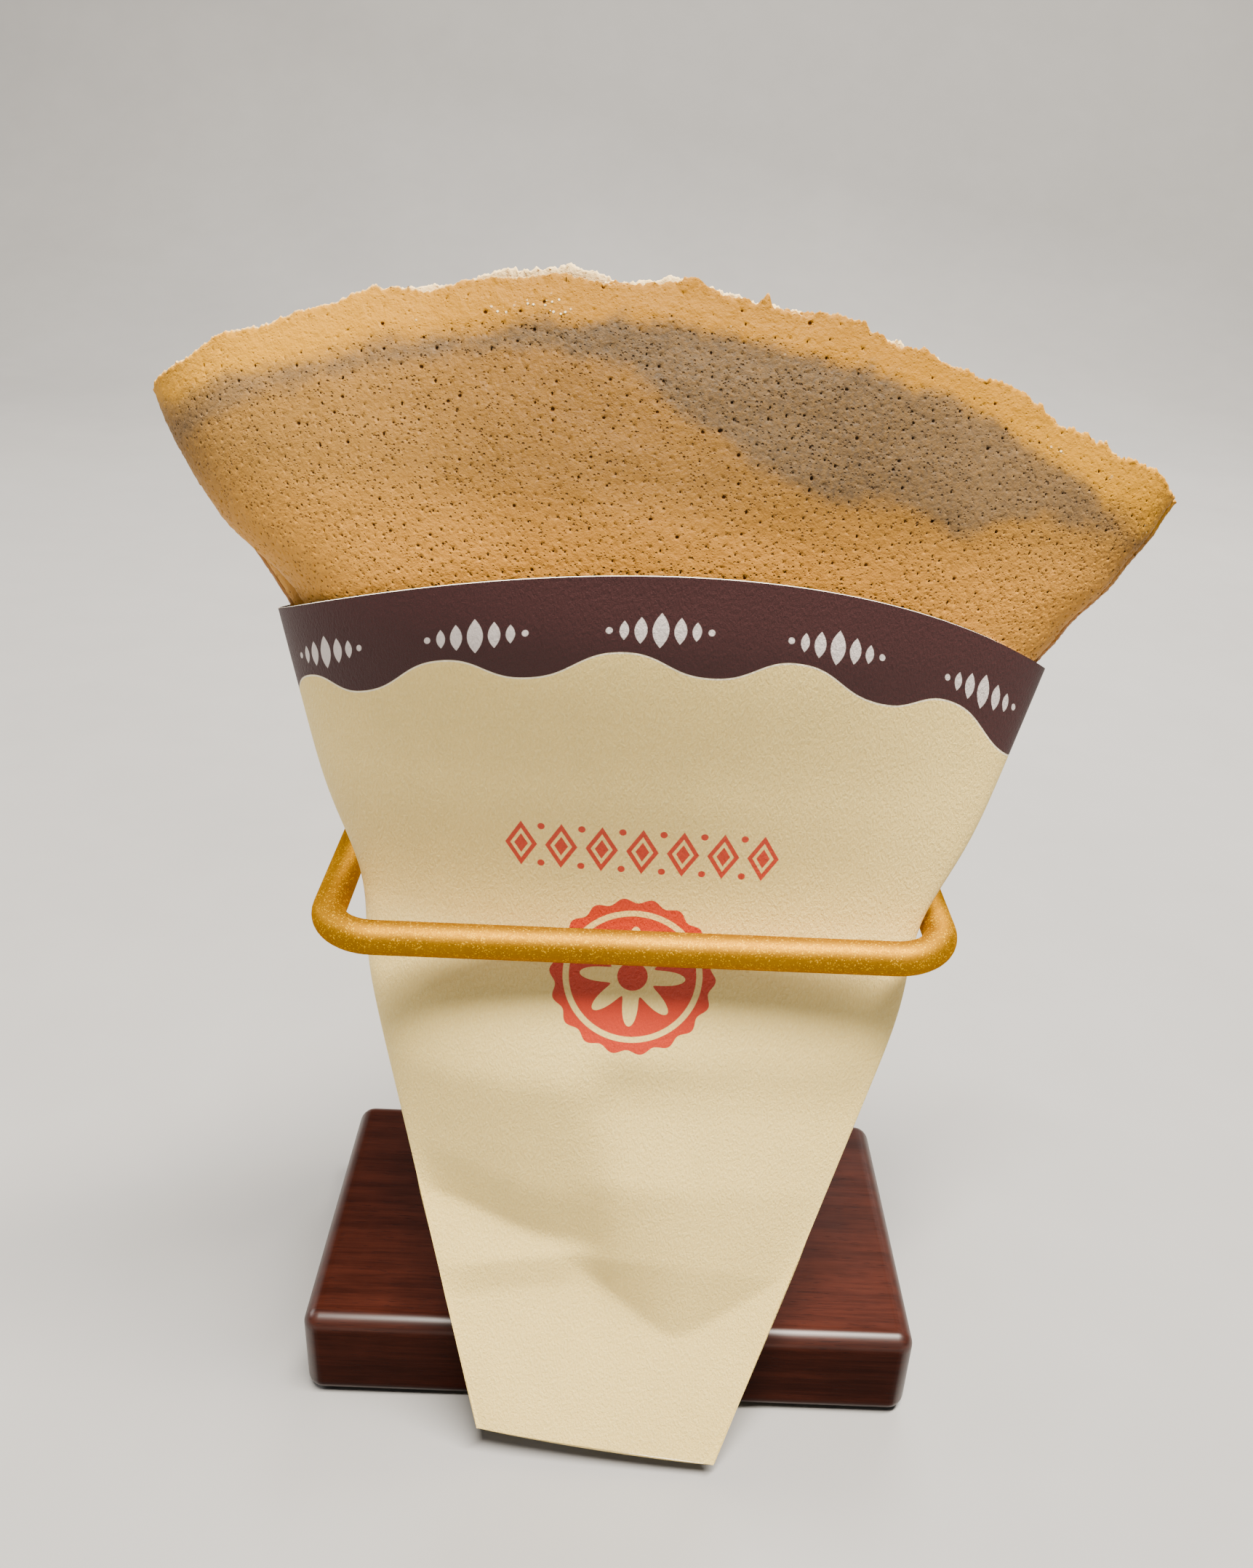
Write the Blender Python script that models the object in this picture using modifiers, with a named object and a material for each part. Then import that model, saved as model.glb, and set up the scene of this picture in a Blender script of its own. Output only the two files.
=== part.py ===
"""A folded crepe in a card sleeve, held upright by a metal loop on a wooden block.

Units are metres, +Z is up and the front of the sleeve faces -Y. The origin is the
centre of the block's underside.

The sleeve and the crepe share one leaning frame. In it X runs across the sleeve, Z runs up
along it from the middle of its glued bottom edge, and -Y points out of its front panel.
"""

import math

import bmesh
import bpy
from mathutils import Matrix, Vector

MM = 0.001
GAP = 0.3 * MM
WELD_DISTANCE = 0.001 * MM

# Wooden block
BASE_WIDTH = 150 * MM
BASE_DEPTH = 80 * MM
BASE_HEIGHT = 25.5 * MM
BASE_EDGE_RADIUS = 3 * MM
BASE_EDGE_SEGMENTS = 4

# Metal loop and post, bent and welded from one rod
ROD_RADIUS = 3.6 * MM
LOOP_WIDTH = 129.4 * MM
LOOP_DEPTH = 56 * MM
LOOP_CORNER_RADIUS = 11 * MM
LOOP_CENTRE_X = 1.3 * MM
LOOP_FRONT_Y = -40 * MM
LOOP_HEIGHT = 136.6 * MM
POST_SOCKET_DEPTH = 14 * MM
SOCKET_SEGMENTS = 32
ROD_SEGMENTS = 20
ARC_STEPS = 7

# Leaning frame of the sleeve and the crepe
CONE_ORIGIN = Vector((-2.4, -56.2, 6.0)) * MM
CONE_LEAN = math.radians(13.3)
CONE_YAW = math.radians(-4.2)
CONE_ROLL = math.radians(0.8)

# Card sleeve: half widths and bulges at heights along its own axis
CARD_THICKNESS = 0.5 * MM
SLEEVE_HALF_BOTTOM = 28.6 * MM
SLEEVE_HALF_TOP = 77.9 * MM
SLEEVE_CORNER_HEIGHT = 193.3 * MM
SLEEVE_MOUTH_RISE = 14.5 * MM
SLEEVE_MOUTH_TILT = 3.8 * MM
SLEEVE_BOTTOM_SLOPE = 0.047
BOTTOM_SLOPE_FADE = 4
PINCH_HEIGHT = 137 * MM
PINCH_DEPTH = 3.4 * MM
PINCH_REACH = 15 * MM
FRONT_SKEW = 0.4
SIDE_CREASE = 0.45
LEAST_BULGE = 0.2 * MM
SLEEVE_FRONT = (
    (0, 0.8), (30, 4.5), (60, 8.0), (95, 10.6), (137, 10.4), (165, 20.0), (193, 31.5), (210, 35.0))
SLEEVE_BACK = (
    (0, 0.8), (30, 7.0), (60, 14.0), (100, 25.0), (143, 35.6), (165, 35.5), (193, 32.0), (210, 30.5))
SLEEVE_FLOOR = 5 * MM
SLEEVE_COLUMNS = 72
SLEEVE_ROWS = 15

# Crepe: a fan of folded layers, its tip down in the sleeve
CREPE_TIP = 64 * MM
CREPE_TIP_REACH = 62 * MM
TIP_ROUNDNESS = 2.4
CREPE_SIDE_CLEARANCE = 2.0 * MM
CREPE_FACE_CLEARANCE = 1.3 * MM
CREPE_FLARE_START = 186 * MM
CREPE_HALF = (
    (186, 73.8), (193, 75.8), (201, 81.2), (212, 89.6), (220, 95.2), (229, 100.4), (240, 105), (262, 113))
CREPE_DRIFT = ((186, 0.0), (193, -0.8), (205, -0.9), (220, -1.4), (262, -2.2))
CREPE_FRONT = ((186, 27.4), (196, 29.4), (206, 30.6), (218, 30.6), (235, 28.0), (262, 22.5))
CREPE_BACK = ((186, 30.8), (196, 28.4), (206, 23.6), (220, 14.6), (235, 5.6), (250, -1.6), (262, -5.6))
RIM_CENTRE = Vector((-10.1, 58.4)) * MM
RIM_RADIUS = 199.7 * MM
RIM_PASSES = 30
RIM_WAVES = ((0.55, 23, 0.7), (0.4, 41, 2.1))
RIM_WAVE_FADE = 6
GROOVE_DEPTH = 24 * MM
LAYER_LIFTS = (0.0, -2.6, 1.4)
LAYER_EDGES = ((0.0, 0.16), (0.38, 0.56), (0.84, 1.0))
LAYER_LIP = 0.05
CREPE_COLUMNS = 52
CREPE_ROWS = 18
ROW_CROWDING = 0.8

# Colours, as linear red, green and blue
WOOD_COLOUR = (0.085, 0.026, 0.016)
GOLD_COLOUR = (0.66, 0.40, 0.02)
CARD_COLOUR = (0.76, 0.67, 0.45)
CREPE_COLOUR = (0.60, 0.32, 0.10)


def smooth_through(stations, height):
    """Value, in metres, of a smooth curve through stations given in millimetres."""
    x = height / MM
    last = len(stations) - 1
    if x <= stations[0][0]:
        return stations[0][1] * MM
    if x >= stations[last][0]:
        return stations[last][1] * MM
    i = 0
    while x > stations[i + 1][0]:
        i += 1

    def slope(k):
        before = stations[max(k - 1, 0)]
        after = stations[min(k + 1, last)]
        return (after[1] - before[1]) / (after[0] - before[0])

    (x0, y0), (x1, y1) = stations[i], stations[i + 1]
    span = x1 - x0
    f = (x - x0) / span
    start = (1 + 2 * f) * (1 - f) ** 2 * y0 + f * (1 - f) ** 2 * span * slope(i)
    end = f * f * (3 - 2 * f) * y1 + f * f * (f - 1) * span * slope(i + 1)
    return (start + end) * MM


def material(name, colour, roughness, metallic=0.0):
    """A Principled material of one colour."""
    made = bpy.data.materials.new(name)
    made.use_nodes = True
    shader = made.node_tree.nodes["Principled BSDF"]
    shader.inputs["Base Color"].default_value = (*colour, 1.0)
    shader.inputs["Roughness"].default_value = roughness
    shader.inputs["Metallic"].default_value = metallic
    return made


def add_object(name, mesh, collection, finish=None, parent=None):
    """An object for a mesh, in a collection, with its material and parent."""
    made = bpy.data.objects.new(name, mesh)
    collection.objects.link(made)
    made.parent = parent
    if finish:
        mesh.materials.append(finish)
    return made


def finish_mesh(name, bm, smooth_angle):
    """A mesh from a bmesh: doubles merged, faces pointing out and shaded smooth."""
    bmesh.ops.remove_doubles(bm, verts=bm.verts, dist=WELD_DISTANCE)
    bmesh.ops.dissolve_degenerate(bm, edges=bm.edges, dist=WELD_DISTANCE)
    bmesh.ops.recalc_face_normals(bm, faces=bm.faces)
    mesh = bpy.data.meshes.new(name)
    bm.to_mesh(mesh)
    bm.free()
    mesh.shade_smooth()
    mesh.set_sharp_from_angle(angle=math.radians(smooth_angle))
    return mesh


def mesh_from_curve(curve_object):
    """The curve's evaluated shape as a welded mesh; the curve is removed."""
    graph = bpy.context.evaluated_depsgraph_get()
    mesh = bpy.data.meshes.new_from_object(curve_object.evaluated_get(graph))
    mesh.transform(curve_object.matrix_world)
    bpy.data.objects.remove(curve_object)
    bm = bmesh.new()
    bm.from_mesh(mesh)
    bmesh.ops.remove_doubles(bm, verts=bm.verts, dist=WELD_DISTANCE)
    bmesh.ops.recalc_face_normals(bm, faces=bm.faces)
    bm.to_mesh(mesh)
    bm.free()
    return mesh


def rod(name, points, cyclic, collection):
    """A round rod along points, as a mesh."""
    curve = bpy.data.curves.new(name, "CURVE")
    curve.dimensions = "3D"
    curve.bevel_depth = ROD_RADIUS
    curve.bevel_resolution = (ROD_SEGMENTS - 4) // 4
    curve.use_fill_caps = True
    spline = curve.splines.new("POLY")
    spline.points.add(len(points) - 1)
    for control, place in zip(spline.points, points):
        control.co = (*place, 1.0)
    spline.use_cyclic_u = cyclic
    curve_object = bpy.data.objects.new(name, curve)
    collection.objects.link(curve_object)
    bpy.context.view_layer.update()
    return mesh_from_curve(curve_object)


def loop_points():
    """Centre line of the loop: a level rounded rectangle, its front bar at LOOP_FRONT_Y."""
    points = []
    half = LOOP_WIDTH / 2
    radius = LOOP_CORNER_RADIUS
    back = LOOP_FRONT_Y + LOOP_DEPTH
    corners = (
        (LOOP_CENTRE_X + half - radius, LOOP_FRONT_Y + radius, -90),
        (LOOP_CENTRE_X + half - radius, back - radius, 0),
        (LOOP_CENTRE_X - half + radius, back - radius, 90),
        (LOOP_CENTRE_X - half + radius, LOOP_FRONT_Y + radius, 180),
    )
    for x, y, start in corners:
        for step in range(ARC_STEPS + 1):
            angle = math.radians(start + 90 * step / ARC_STEPS)
            points.append((x + radius * math.cos(angle), y + radius * math.sin(angle), LOOP_HEIGHT))
    return points


def add_boolean(target, other, operation, name):
    """A Boolean modifier that leaves its cutter or partner hidden."""
    modifier = target.modifiers.new(name, "BOOLEAN")
    modifier.operation = operation
    modifier.object = other
    modifier.solver = "EXACT"
    other.hide_render = True
    other.display_type = "WIRE"


def make_base(parts, cutters):
    """The wooden block, with rounded edges and a blind socket for the post."""
    bm = bmesh.new()
    bmesh.ops.create_cube(bm, size=1.0)
    bmesh.ops.scale(bm, vec=(BASE_WIDTH, BASE_DEPTH, BASE_HEIGHT), verts=bm.verts)
    bmesh.ops.translate(bm, vec=(0, 0, BASE_HEIGHT / 2), verts=bm.verts)
    mesh = bpy.data.meshes.new("holder_base")
    bm.to_mesh(mesh)
    bm.free()
    wood = material("lacquered_wood", WOOD_COLOUR, roughness=0.35)
    base = add_object("holder_base", mesh, parts, wood)
    rounding = base.modifiers.new("rounded_edges", "BEVEL")
    rounding.width = BASE_EDGE_RADIUS
    rounding.segments = BASE_EDGE_SEGMENTS

    socket_mesh = bpy.data.meshes.new("post_socket")
    bm = bmesh.new()
    bmesh.ops.create_cone(
        bm, cap_ends=True, segments=SOCKET_SEGMENTS, radius1=ROD_RADIUS + GAP, radius2=ROD_RADIUS + GAP,
        depth=2 * POST_SOCKET_DEPTH)
    bm.to_mesh(socket_mesh)
    bm.free()
    socket = add_object("post_socket", socket_mesh, cutters)
    socket.location = (LOOP_CENTRE_X, LOOP_FRONT_Y + LOOP_DEPTH, BASE_HEIGHT)
    add_boolean(base, socket, "DIFFERENCE", "socket")
    return base


def make_ring(parts, cutters):
    """The level loop and its upright post, one welded piece."""
    gold = material("gold_paint", GOLD_COLOUR, roughness=0.35, metallic=0.7)
    ring = add_object("holder_ring", rod("holder_ring", loop_points(), True, parts), parts, gold)
    foot = BASE_HEIGHT - POST_SOCKET_DEPTH + GAP
    post_y = LOOP_FRONT_Y + LOOP_DEPTH
    line = ((LOOP_CENTRE_X, post_y, foot), (LOOP_CENTRE_X, post_y, LOOP_HEIGHT))
    post = add_object("post", rod("post", line, False, parts), cutters)
    add_boolean(ring, post, "UNION", "weld")
    ring.data.shade_smooth()
    ring.data.set_sharp_from_angle(angle=math.radians(40))
    return ring


def sleeve_half_width(height):
    """Half the width of the sleeve, pinched a little where the loop's side bars hold it."""
    flare = (SLEEVE_HALF_TOP - SLEEVE_HALF_BOTTOM) / SLEEVE_CORNER_HEIGHT
    straight = SLEEVE_HALF_BOTTOM + flare * height
    pinch = PINCH_DEPTH * math.exp(-((height - PINCH_HEIGHT) / PINCH_REACH) ** 2)
    return straight - pinch


def section_point(half, front, back, angle, crease):
    """A point of a lens section: angle 0 is its right edge, 90 degrees its front."""
    across = math.cos(angle)
    rise = abs(math.sin(angle))
    bow = rise * (1 - crease + crease * rise)
    if math.sin(angle) >= 0:
        return half * across, -front * bow * (1 - FRONT_SKEW * across)
    return half * across, back * bow


def sleeve_point(angle, height, inset):
    """A point of the sleeve's outer face, or of its inner face with an inset."""
    half = sleeve_half_width(height) - inset
    front = max(smooth_through(SLEEVE_FRONT, height) - inset, LEAST_BULGE)
    back = max(smooth_through(SLEEVE_BACK, height) - inset, LEAST_BULGE)
    crease = SIDE_CREASE * max(0.0, 1 - height / PINCH_HEIGHT)
    x, y = section_point(half, front, back, angle, crease)
    return Vector((x, y, height))


def mouth_height(angle):
    """Height of the sleeve's top edge: an arc cut across each panel."""
    across = math.cos(angle)
    inward = 1 - across * across
    return SLEEVE_CORNER_HEIGHT + inward * (SLEEVE_MOUTH_RISE + SLEEVE_MOUTH_TILT * across)


def sleeve_ring(bm, share, inset, floor):
    """One closed row of vertices at a share of the way from the floor to the mouth."""
    ring = []
    for column in range(SLEEVE_COLUMNS):
        angle = 2 * math.pi * column / SLEEVE_COLUMNS
        height = floor + (mouth_height(angle) - floor) * share
        place = sleeve_point(angle, height, inset)
        place.z -= SLEEVE_BOTTOM_SLOPE * place.x * (1 - share) ** BOTTOM_SLOPE_FADE
        ring.append(bm.verts.new(place))
    return ring


def bridge(bm, lower, upper):
    """Quads between two rows of equal length."""
    count = len(lower)
    for i in range(count):
        j = (i + 1) % count
        bm.faces.new((lower[i], lower[j], upper[j], upper[i]))


def make_sleeve(parts, frame):
    """The card sleeve: a loft from a flat glued bottom to a wide open mouth, with a real wall."""
    bm = bmesh.new()
    shares = [row / SLEEVE_ROWS for row in range(SLEEVE_ROWS + 1)]
    outer = [sleeve_ring(bm, share, 0.0, 0.0) for share in shares]
    inner = [sleeve_ring(bm, share, CARD_THICKNESS, SLEEVE_FLOOR) for share in shares]
    for rows in (outer, inner):
        for lower, upper in zip(rows, rows[1:]):
            bridge(bm, lower, upper)
    bridge(bm, outer[-1], inner[-1])
    for ring in (outer[0], inner[0]):
        half = SLEEVE_COLUMNS // 2
        for i in range(half):
            corners = (ring[i], ring[i + 1], ring[-1 - i], ring[-i])
            bm.faces.new(dict.fromkeys(corners))
    mesh = finish_mesh("sleeve", bm, smooth_angle=50)
    return add_object("sleeve", mesh, parts, material("card", CARD_COLOUR, roughness=0.85), frame)


def crepe_size(height):
    """Half width, sideways drift, front bulge and back bulge of the crepe at a height."""
    share = min(max((height - CREPE_TIP) / CREPE_TIP_REACH, 0.0), 1.0)
    swell = math.sqrt(max(0.0, 1 - (1 - share) ** TIP_ROUNDNESS))
    if height > CREPE_FLARE_START:
        half = smooth_through(CREPE_HALF, height)
        drift = smooth_through(CREPE_DRIFT, height)
        front = smooth_through(CREPE_FRONT, height)
        back = smooth_through(CREPE_BACK, height)
        return half, drift, front, back
    half = (sleeve_half_width(height) - CREPE_SIDE_CLEARANCE) * swell
    front = (smooth_through(SLEEVE_FRONT, height) - CREPE_FACE_CLEARANCE) * swell
    back = (smooth_through(SLEEVE_BACK, height) - CREPE_FACE_CLEARANCE) * swell
    return half, 0.0, front, back


def rim_height(across):
    """Height where a column of the crepe meets the round rim of the fan."""
    height = RIM_CENTRE.y + RIM_RADIUS
    for _ in range(RIM_PASSES):
        half, drift, _, _ = crepe_size(height)
        side = drift + half * across - RIM_CENTRE.x
        height = RIM_CENTRE.y + math.sqrt(max(RIM_RADIUS ** 2 - side ** 2, 0.0))
    return height


def rim_wave(across):
    """Gentle unevenness of the rim, the same on each build."""
    ripple = sum(size * math.sin(rate * across + phase) for size, rate, phase in RIM_WAVES)
    return ripple * MM * (1 - across ** RIM_WAVE_FADE)


def crepe_place(across, height, depth):
    """A point of the crepe: depth runs from 0 at its front face to 1 at its back face."""
    half, drift, front, back = crepe_size(height)
    bow = math.sqrt(max(0.0, 1 - across * across))
    y_front = -front * bow * (1 - FRONT_SKEW * across)
    y_back = back * bow
    return Vector((drift + half * across, y_front + (y_back - y_front) * depth, height))


def crepe_column(bm, angle):
    """One closed strip of vertices: up the front, over the layered rim and down the back."""
    across = math.cos(angle)
    top = rim_height(across) + rim_wave(across)
    fade = math.sqrt(max(0.0, 1 - across * across))
    shares = [(row / CREPE_ROWS) ** ROW_CROWDING for row in range(CREPE_ROWS)]
    heights = [CREPE_TIP + (top - CREPE_TIP) * share for share in shares]
    places = [crepe_place(across, height, 0.0) for height in heights]
    for number, (start, end) in enumerate(LAYER_EDGES):
        lift = LAYER_LIFTS[number] * MM * fade
        if number > 0:
            places.append(crepe_place(across, top - GROOVE_DEPTH * fade, start - LAYER_LIP))
        places.append(crepe_place(across, top + lift, start))
        places.append(crepe_place(across, top + lift, end))
        if number < len(LAYER_EDGES) - 1:
            places.append(crepe_place(across, top - GROOVE_DEPTH * fade, end + LAYER_LIP))
    places += [crepe_place(across, height, 1.0) for height in reversed(heights)]
    return [bm.verts.new(place) for place in places]


def make_crepe(parts, frame):
    """The folded crepe as one solid, with its rim's layers as relief."""
    bm = bmesh.new()
    columns = [crepe_column(bm, math.pi * k / CREPE_COLUMNS) for k in range(CREPE_COLUMNS + 1)]
    for left, right in zip(columns, columns[1:]):
        for i in range(len(left) - 1):
            bm.faces.new((left[i], left[i + 1], right[i + 1], right[i]))
    mesh = finish_mesh("crepe", bm, smooth_angle=45)
    return add_object("crepe", mesh, parts, material("browned_crepe", CREPE_COLOUR, roughness=0.6), frame)


def main():
    for old in list(bpy.data.objects):
        bpy.data.objects.remove(old)
    parts = bpy.data.collections.new("crepe_in_holder")
    cutters = bpy.data.collections.new("cutters")
    bpy.context.scene.collection.children.link(parts)
    bpy.context.scene.collection.children.link(cutters)

    frame = bpy.data.objects.new("cone_frame", None)
    parts.objects.link(frame)
    yaw = Matrix.Rotation(CONE_YAW, 4, "Z")
    lean = Matrix.Rotation(-CONE_LEAN, 4, "X")
    roll = Matrix.Rotation(CONE_ROLL, 4, "Y")
    frame.matrix_world = Matrix.Translation(CONE_ORIGIN) @ yaw @ lean @ roll

    make_base(parts, cutters)
    make_ring(parts, cutters)
    make_sleeve(parts, frame)
    make_crepe(parts, frame)


main()
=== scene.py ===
import math
import random

import bmesh
import bpy
from mathutils import Matrix, Vector, noise


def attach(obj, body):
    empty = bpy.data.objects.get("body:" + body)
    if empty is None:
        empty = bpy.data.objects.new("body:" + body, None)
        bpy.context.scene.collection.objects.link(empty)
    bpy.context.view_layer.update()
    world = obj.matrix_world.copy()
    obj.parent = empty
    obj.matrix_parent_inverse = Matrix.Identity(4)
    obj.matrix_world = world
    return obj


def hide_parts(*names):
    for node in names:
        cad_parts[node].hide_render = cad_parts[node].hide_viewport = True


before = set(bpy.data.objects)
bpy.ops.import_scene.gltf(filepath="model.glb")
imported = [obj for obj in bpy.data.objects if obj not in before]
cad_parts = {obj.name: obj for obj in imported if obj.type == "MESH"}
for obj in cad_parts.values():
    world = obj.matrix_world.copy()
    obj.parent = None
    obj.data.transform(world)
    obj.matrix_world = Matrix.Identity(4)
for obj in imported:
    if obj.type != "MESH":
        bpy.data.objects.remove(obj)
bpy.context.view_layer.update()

# Sizes of the stand, in millimetres
MM = 0.001
BLOCK = (150.0, 80.0, 25.5)
BLOCK_EDGE_RADIUS = 4.2
BLOCK_EDGE_STEPS = 8
BLOCK_EDGE_MARGIN = 0.7
BLOCK_EDGE_TURN = 0.12
BLOCK_FLAT_AREA = 500
ROD_RADIUS = 3.6
ROD_SIDES = 28
LOOP_WIDTH = 129.4
LOOP_DEPTH = 56.0
LOOP_CORNER_RADIUS = 11.0
LOOP_CENTRE_X = 1.3
LOOP_FRONT_Y = -40.0
LOOP_HEIGHT = 136.6
CORNER_STEPS = 14
RUN_STEPS = 3
TURNED_STEPS = 40
JOIN_DISTANCE = 0.01
POST_FOOT = 12.0
POST_STEPS = (60.0, 100.0)
COLLAR = ((3.6, 2.4), (5.0, 2.1), (6.6, 1.6), (7.4, 0.9), (7.5, 0.05))
WELD_THICKNESS = 1.1
WELD_SIDES = 10
WELD_STEPS = 72
WELD_WAVES = 17
WELD_RIPPLE = 0.16
WELD_UNEVENNESS = 0.12

# The cone frame: X to the right, Z up the sleeve, -Y out of its front
CONE_ORIGIN = Vector((-2.4, -56.2, 6.0)) * MM
CONE_YAW = math.radians(-4.2)
CONE_LEAN = math.radians(13.3)
CONE_ROLL = math.radians(0.8)
CONE = (
    Matrix.Translation(CONE_ORIGIN)
    @ Matrix.Rotation(CONE_YAW, 4, "Z")
    @ Matrix.Rotation(-CONE_LEAN, 4, "X")
    @ Matrix.Rotation(CONE_ROLL, 4, "Y")
    @ Matrix.Scale(MM, 4))

# Sizes of the sleeve, in millimetres in the cone frame
CARD_THICKNESS = 0.42
SLEEVE_HALF_BOTTOM = 28.6
SLEEVE_HALF_TOP = 77.9
SLEEVE_CORNER_HEIGHT = 193.3
SLEEVE_MOUTH_RISE = 14.5
SLEEVE_MOUTH_TILT = 3.8
SLEEVE_BOTTOM_SLOPE = 0.047
BOTTOM_SLOPE_FADE = 4
PINCH_HEIGHT = 137.0
PINCH_DEPTH = 3.4
PINCH_REACH = 15.0
FRONT_SKEW = 0.4
SIDE_CREASE = 0.45
SLEEVE_FRONT = (
    (0, 0.8), (30, 4.5), (60, 8.0), (95, 10.6), (137, 10.4), (165, 20.0), (193, 31.5), (210, 35.0))
SLEEVE_BACK = (
    (0, 0.8), (30, 7.0), (60, 14.0), (100, 25.0), (143, 35.6), (165, 35.5), (193, 32.0), (210, 30.5))
SEAM_TURN = math.radians(163)
SEAM_OVERLAP = 12.0
SEAM_LIFT = 0.56
SEAM_RAMP = math.radians(2.5)
SLEEVE_COLUMNS = 230
SLEEVE_ROWS = 176
SEAM_START = 0.86
SEAM_SHARE = 0.14
PAPER_LAYERS = ("paper_across", "paper_up", "below_mouth")
ROW_CROWDING = 1.12
FLAP_HEIGHT = 13.5
FLAP_THICKNESS = 0.37
FLAP_MARGIN = 0.6
FLAP_TAPER = 0.55
FLAP_GAP = 0.08
FLAP_DROP = 0.05
FLAP_PAPER_GAP = 5
FLAP_BEND_ROWS = 8
FLAP_ROWS = 26
FLAP_COLUMNS = 60

# Dents of the sleeve's front, in millimetres
DENT_TOP = 110
DENT_BLEND = 14.0
RIDGE_LINE = ((-36, 43.1), (-22, 46.9), (-5.6, 50.2), (10.5, 52.1), (27, 51.1), (34, 49.6))
VALLEY_LINE = ((-41.5, 61.8), (-30.8, 58.4), (-19.6, 54.8), (-10.7, 53.6), (-1, 54.6))
CREASE_TIP = (16.0, 32.0)
CREASE_TIP_ROUNDING = 3.0
CREASE_RISE_RIGHT = 0.85
CREASE_RISE_LEFT = 0.70
VALLEY_WIDTHS = (1.6, 4.0)
VALLEY_SHARP_SIDE = -30
VALLEY_SOFTENING = 25
DENTS_MEET = 2
DENTS_MERGING = 16
PANEL_SLOPE = -0.05

# Sizes of the crepe, in millimetres in the cone frame
CREPE_TIP = 64.0
CREPE_TIP_REACH = 62.0
TIP_ROUNDNESS = 2.4
TIP_HALF = 0.5
CREPE_SIDE_CLEARANCE = 2.0
CREPE_FACE_CLEARANCE = 1.3
DENT_ROOM = 5.0
DENT_ROOM_TOP = 165.0
DENT_ROOM_FADE = 30.0
CREPE_FLARE_START = 186.0
CREPE_HALF = (
    (186, 73.8), (193, 75.8), (201, 81.2), (212, 89.6), (220, 95.2), (229, 100.4), (240, 105), (262, 113))
CREPE_DRIFT = ((186, 0.0), (193, -0.8), (205, -0.9), (220, -1.4), (262, -2.2))
CREPE_FRONT = ((186, 27.4), (196, 29.4), (206, 30.6), (218, 30.6), (235, 28.0), (262, 22.5))
CREPE_BACK = ((186, 30.8), (196, 28.4), (206, 23.6), (220, 14.6), (235, 5.6), (250, -1.6), (262, -5.6))
RIM_CENTRE = (-10.1, 58.4)
RIM_RADIUS = 199.7
RIM_PASSES = 30
RIM_WAVES = ((0.55, 23, 0.7), (0.4, 41, 2.1))
RIM_WAVE_FADE = 6
SHEET_THICKNESS = 1.2
SHEET_DEPTHS = (0.0, 0.13, 0.41, 0.53, 0.87, 1.0)
SHEET_LIFTS = (0.0, -0.9, -2.6, -3.2, 0.6, 1.4)
RIM_TABLE_STEPS = 100
RIM_HALF = 105
RIM_TEETH = ((0.75, 0.12), (0.9, 0.45))
TOOTH_RISE = 0.6
SHEET_PHASE = 2.4
CALM_SIDE = -45
CALM_REACH = 50
TIP_LIFT = 2.2
TIP_LIFT_SIDE = 99.0
TIP_LIFT_SPAN = 13.0
SIDE_WAVER = 0.7
RIM_ROUNDING = 0.3
RIM_THINNING = 0.6
THINNING_REACH = 7
# The rim's lip, from its outer to its inner edge: rise and side
RIM_LIP = ((0.80, 0.55), (1.0, 0.0), (0.80, -0.55))
# The pore layer carries the painted shade of the pores
CREPE_LAYERS = ("below_rim", "dark_crescent_depth", "cone_height", "pore", "fold_gloss", "dryness", "column")
EDGE_STACK = 5.0
EDGE_STACK_START = 150.0
EDGE_STACK_REACH = 40.0
EDGE_STACK_LEAST = 0.6
FOLD_REACH = 1.3
INNER_REACH = 0.5
FLAP_INSET = 5.0
FLAP_INSET_TOP = 212.0
FLAP_INSET_REACH = 14.0
VISIBLE_START = 187.0
RUN_CROWDING = 0.35
TAIL_START = 0.92
TAIL_STEPS = 5
LOW_ROWS = 10
FOLD_LOW_ROWS = 8
FRONT_COLUMNS = 318
FRONT_ROWS = 108
BACK_COLUMNS = 230
BACK_ROWS = 78
FOLD_COLUMNS = 110
FOLD_ROWS = 30
INNER_ROW_STEP = 9
WAVE_START = 200
WAVE_REACH = 20
NO_DARK_CRESCENT = -12.0
GLOSS_TOP = 214
GLOSS_START = 5
PORE_START = 189.0
PORE_SMALL = 0.195
PORE_LARGE = 0.56
PORE_SPREAD = 0.46
PORE_STEP = 0.30
PORE_FIT = 0.86
PORE_HALF = 106
# How round a pore is: its middle, its change and how fast it changes across
PORE_SQUASH = (0.78, 0.25, 91.7)
PORE_INSET = 0.02
PORES_ALL_OVER = 0.58
PORES_AT_CORE = 0.46
PORES_IN_DARK_CRESCENT = 0.16
BACK_PORE_CHANCE = 0.24
SHAKE_SHARE = 0.22
# Rings of a pore, from its mouth to its floor: share of its radius, depth and painted shade
SMALL_PORE_RINGS = ((1.0, 0.0, 0.1), (0.55, 0.95, 1.0))
PORE_RINGS = ((1.0, 0.0, 0.1), (0.74, 0.55, 0.7), (0.38, 0.95, 1.0))
CRUMB_REACH = 1.2
CRUMBS = ((0.9, 0.5, 0.0), (0.75, 1.1, 0.0), (0.5, 2.4, 0.8))
BACK_SWELL = 3.0
BACK_SWELL_SIDE = 26.0
BACK_SWELL_SPAN = 27.0
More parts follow.
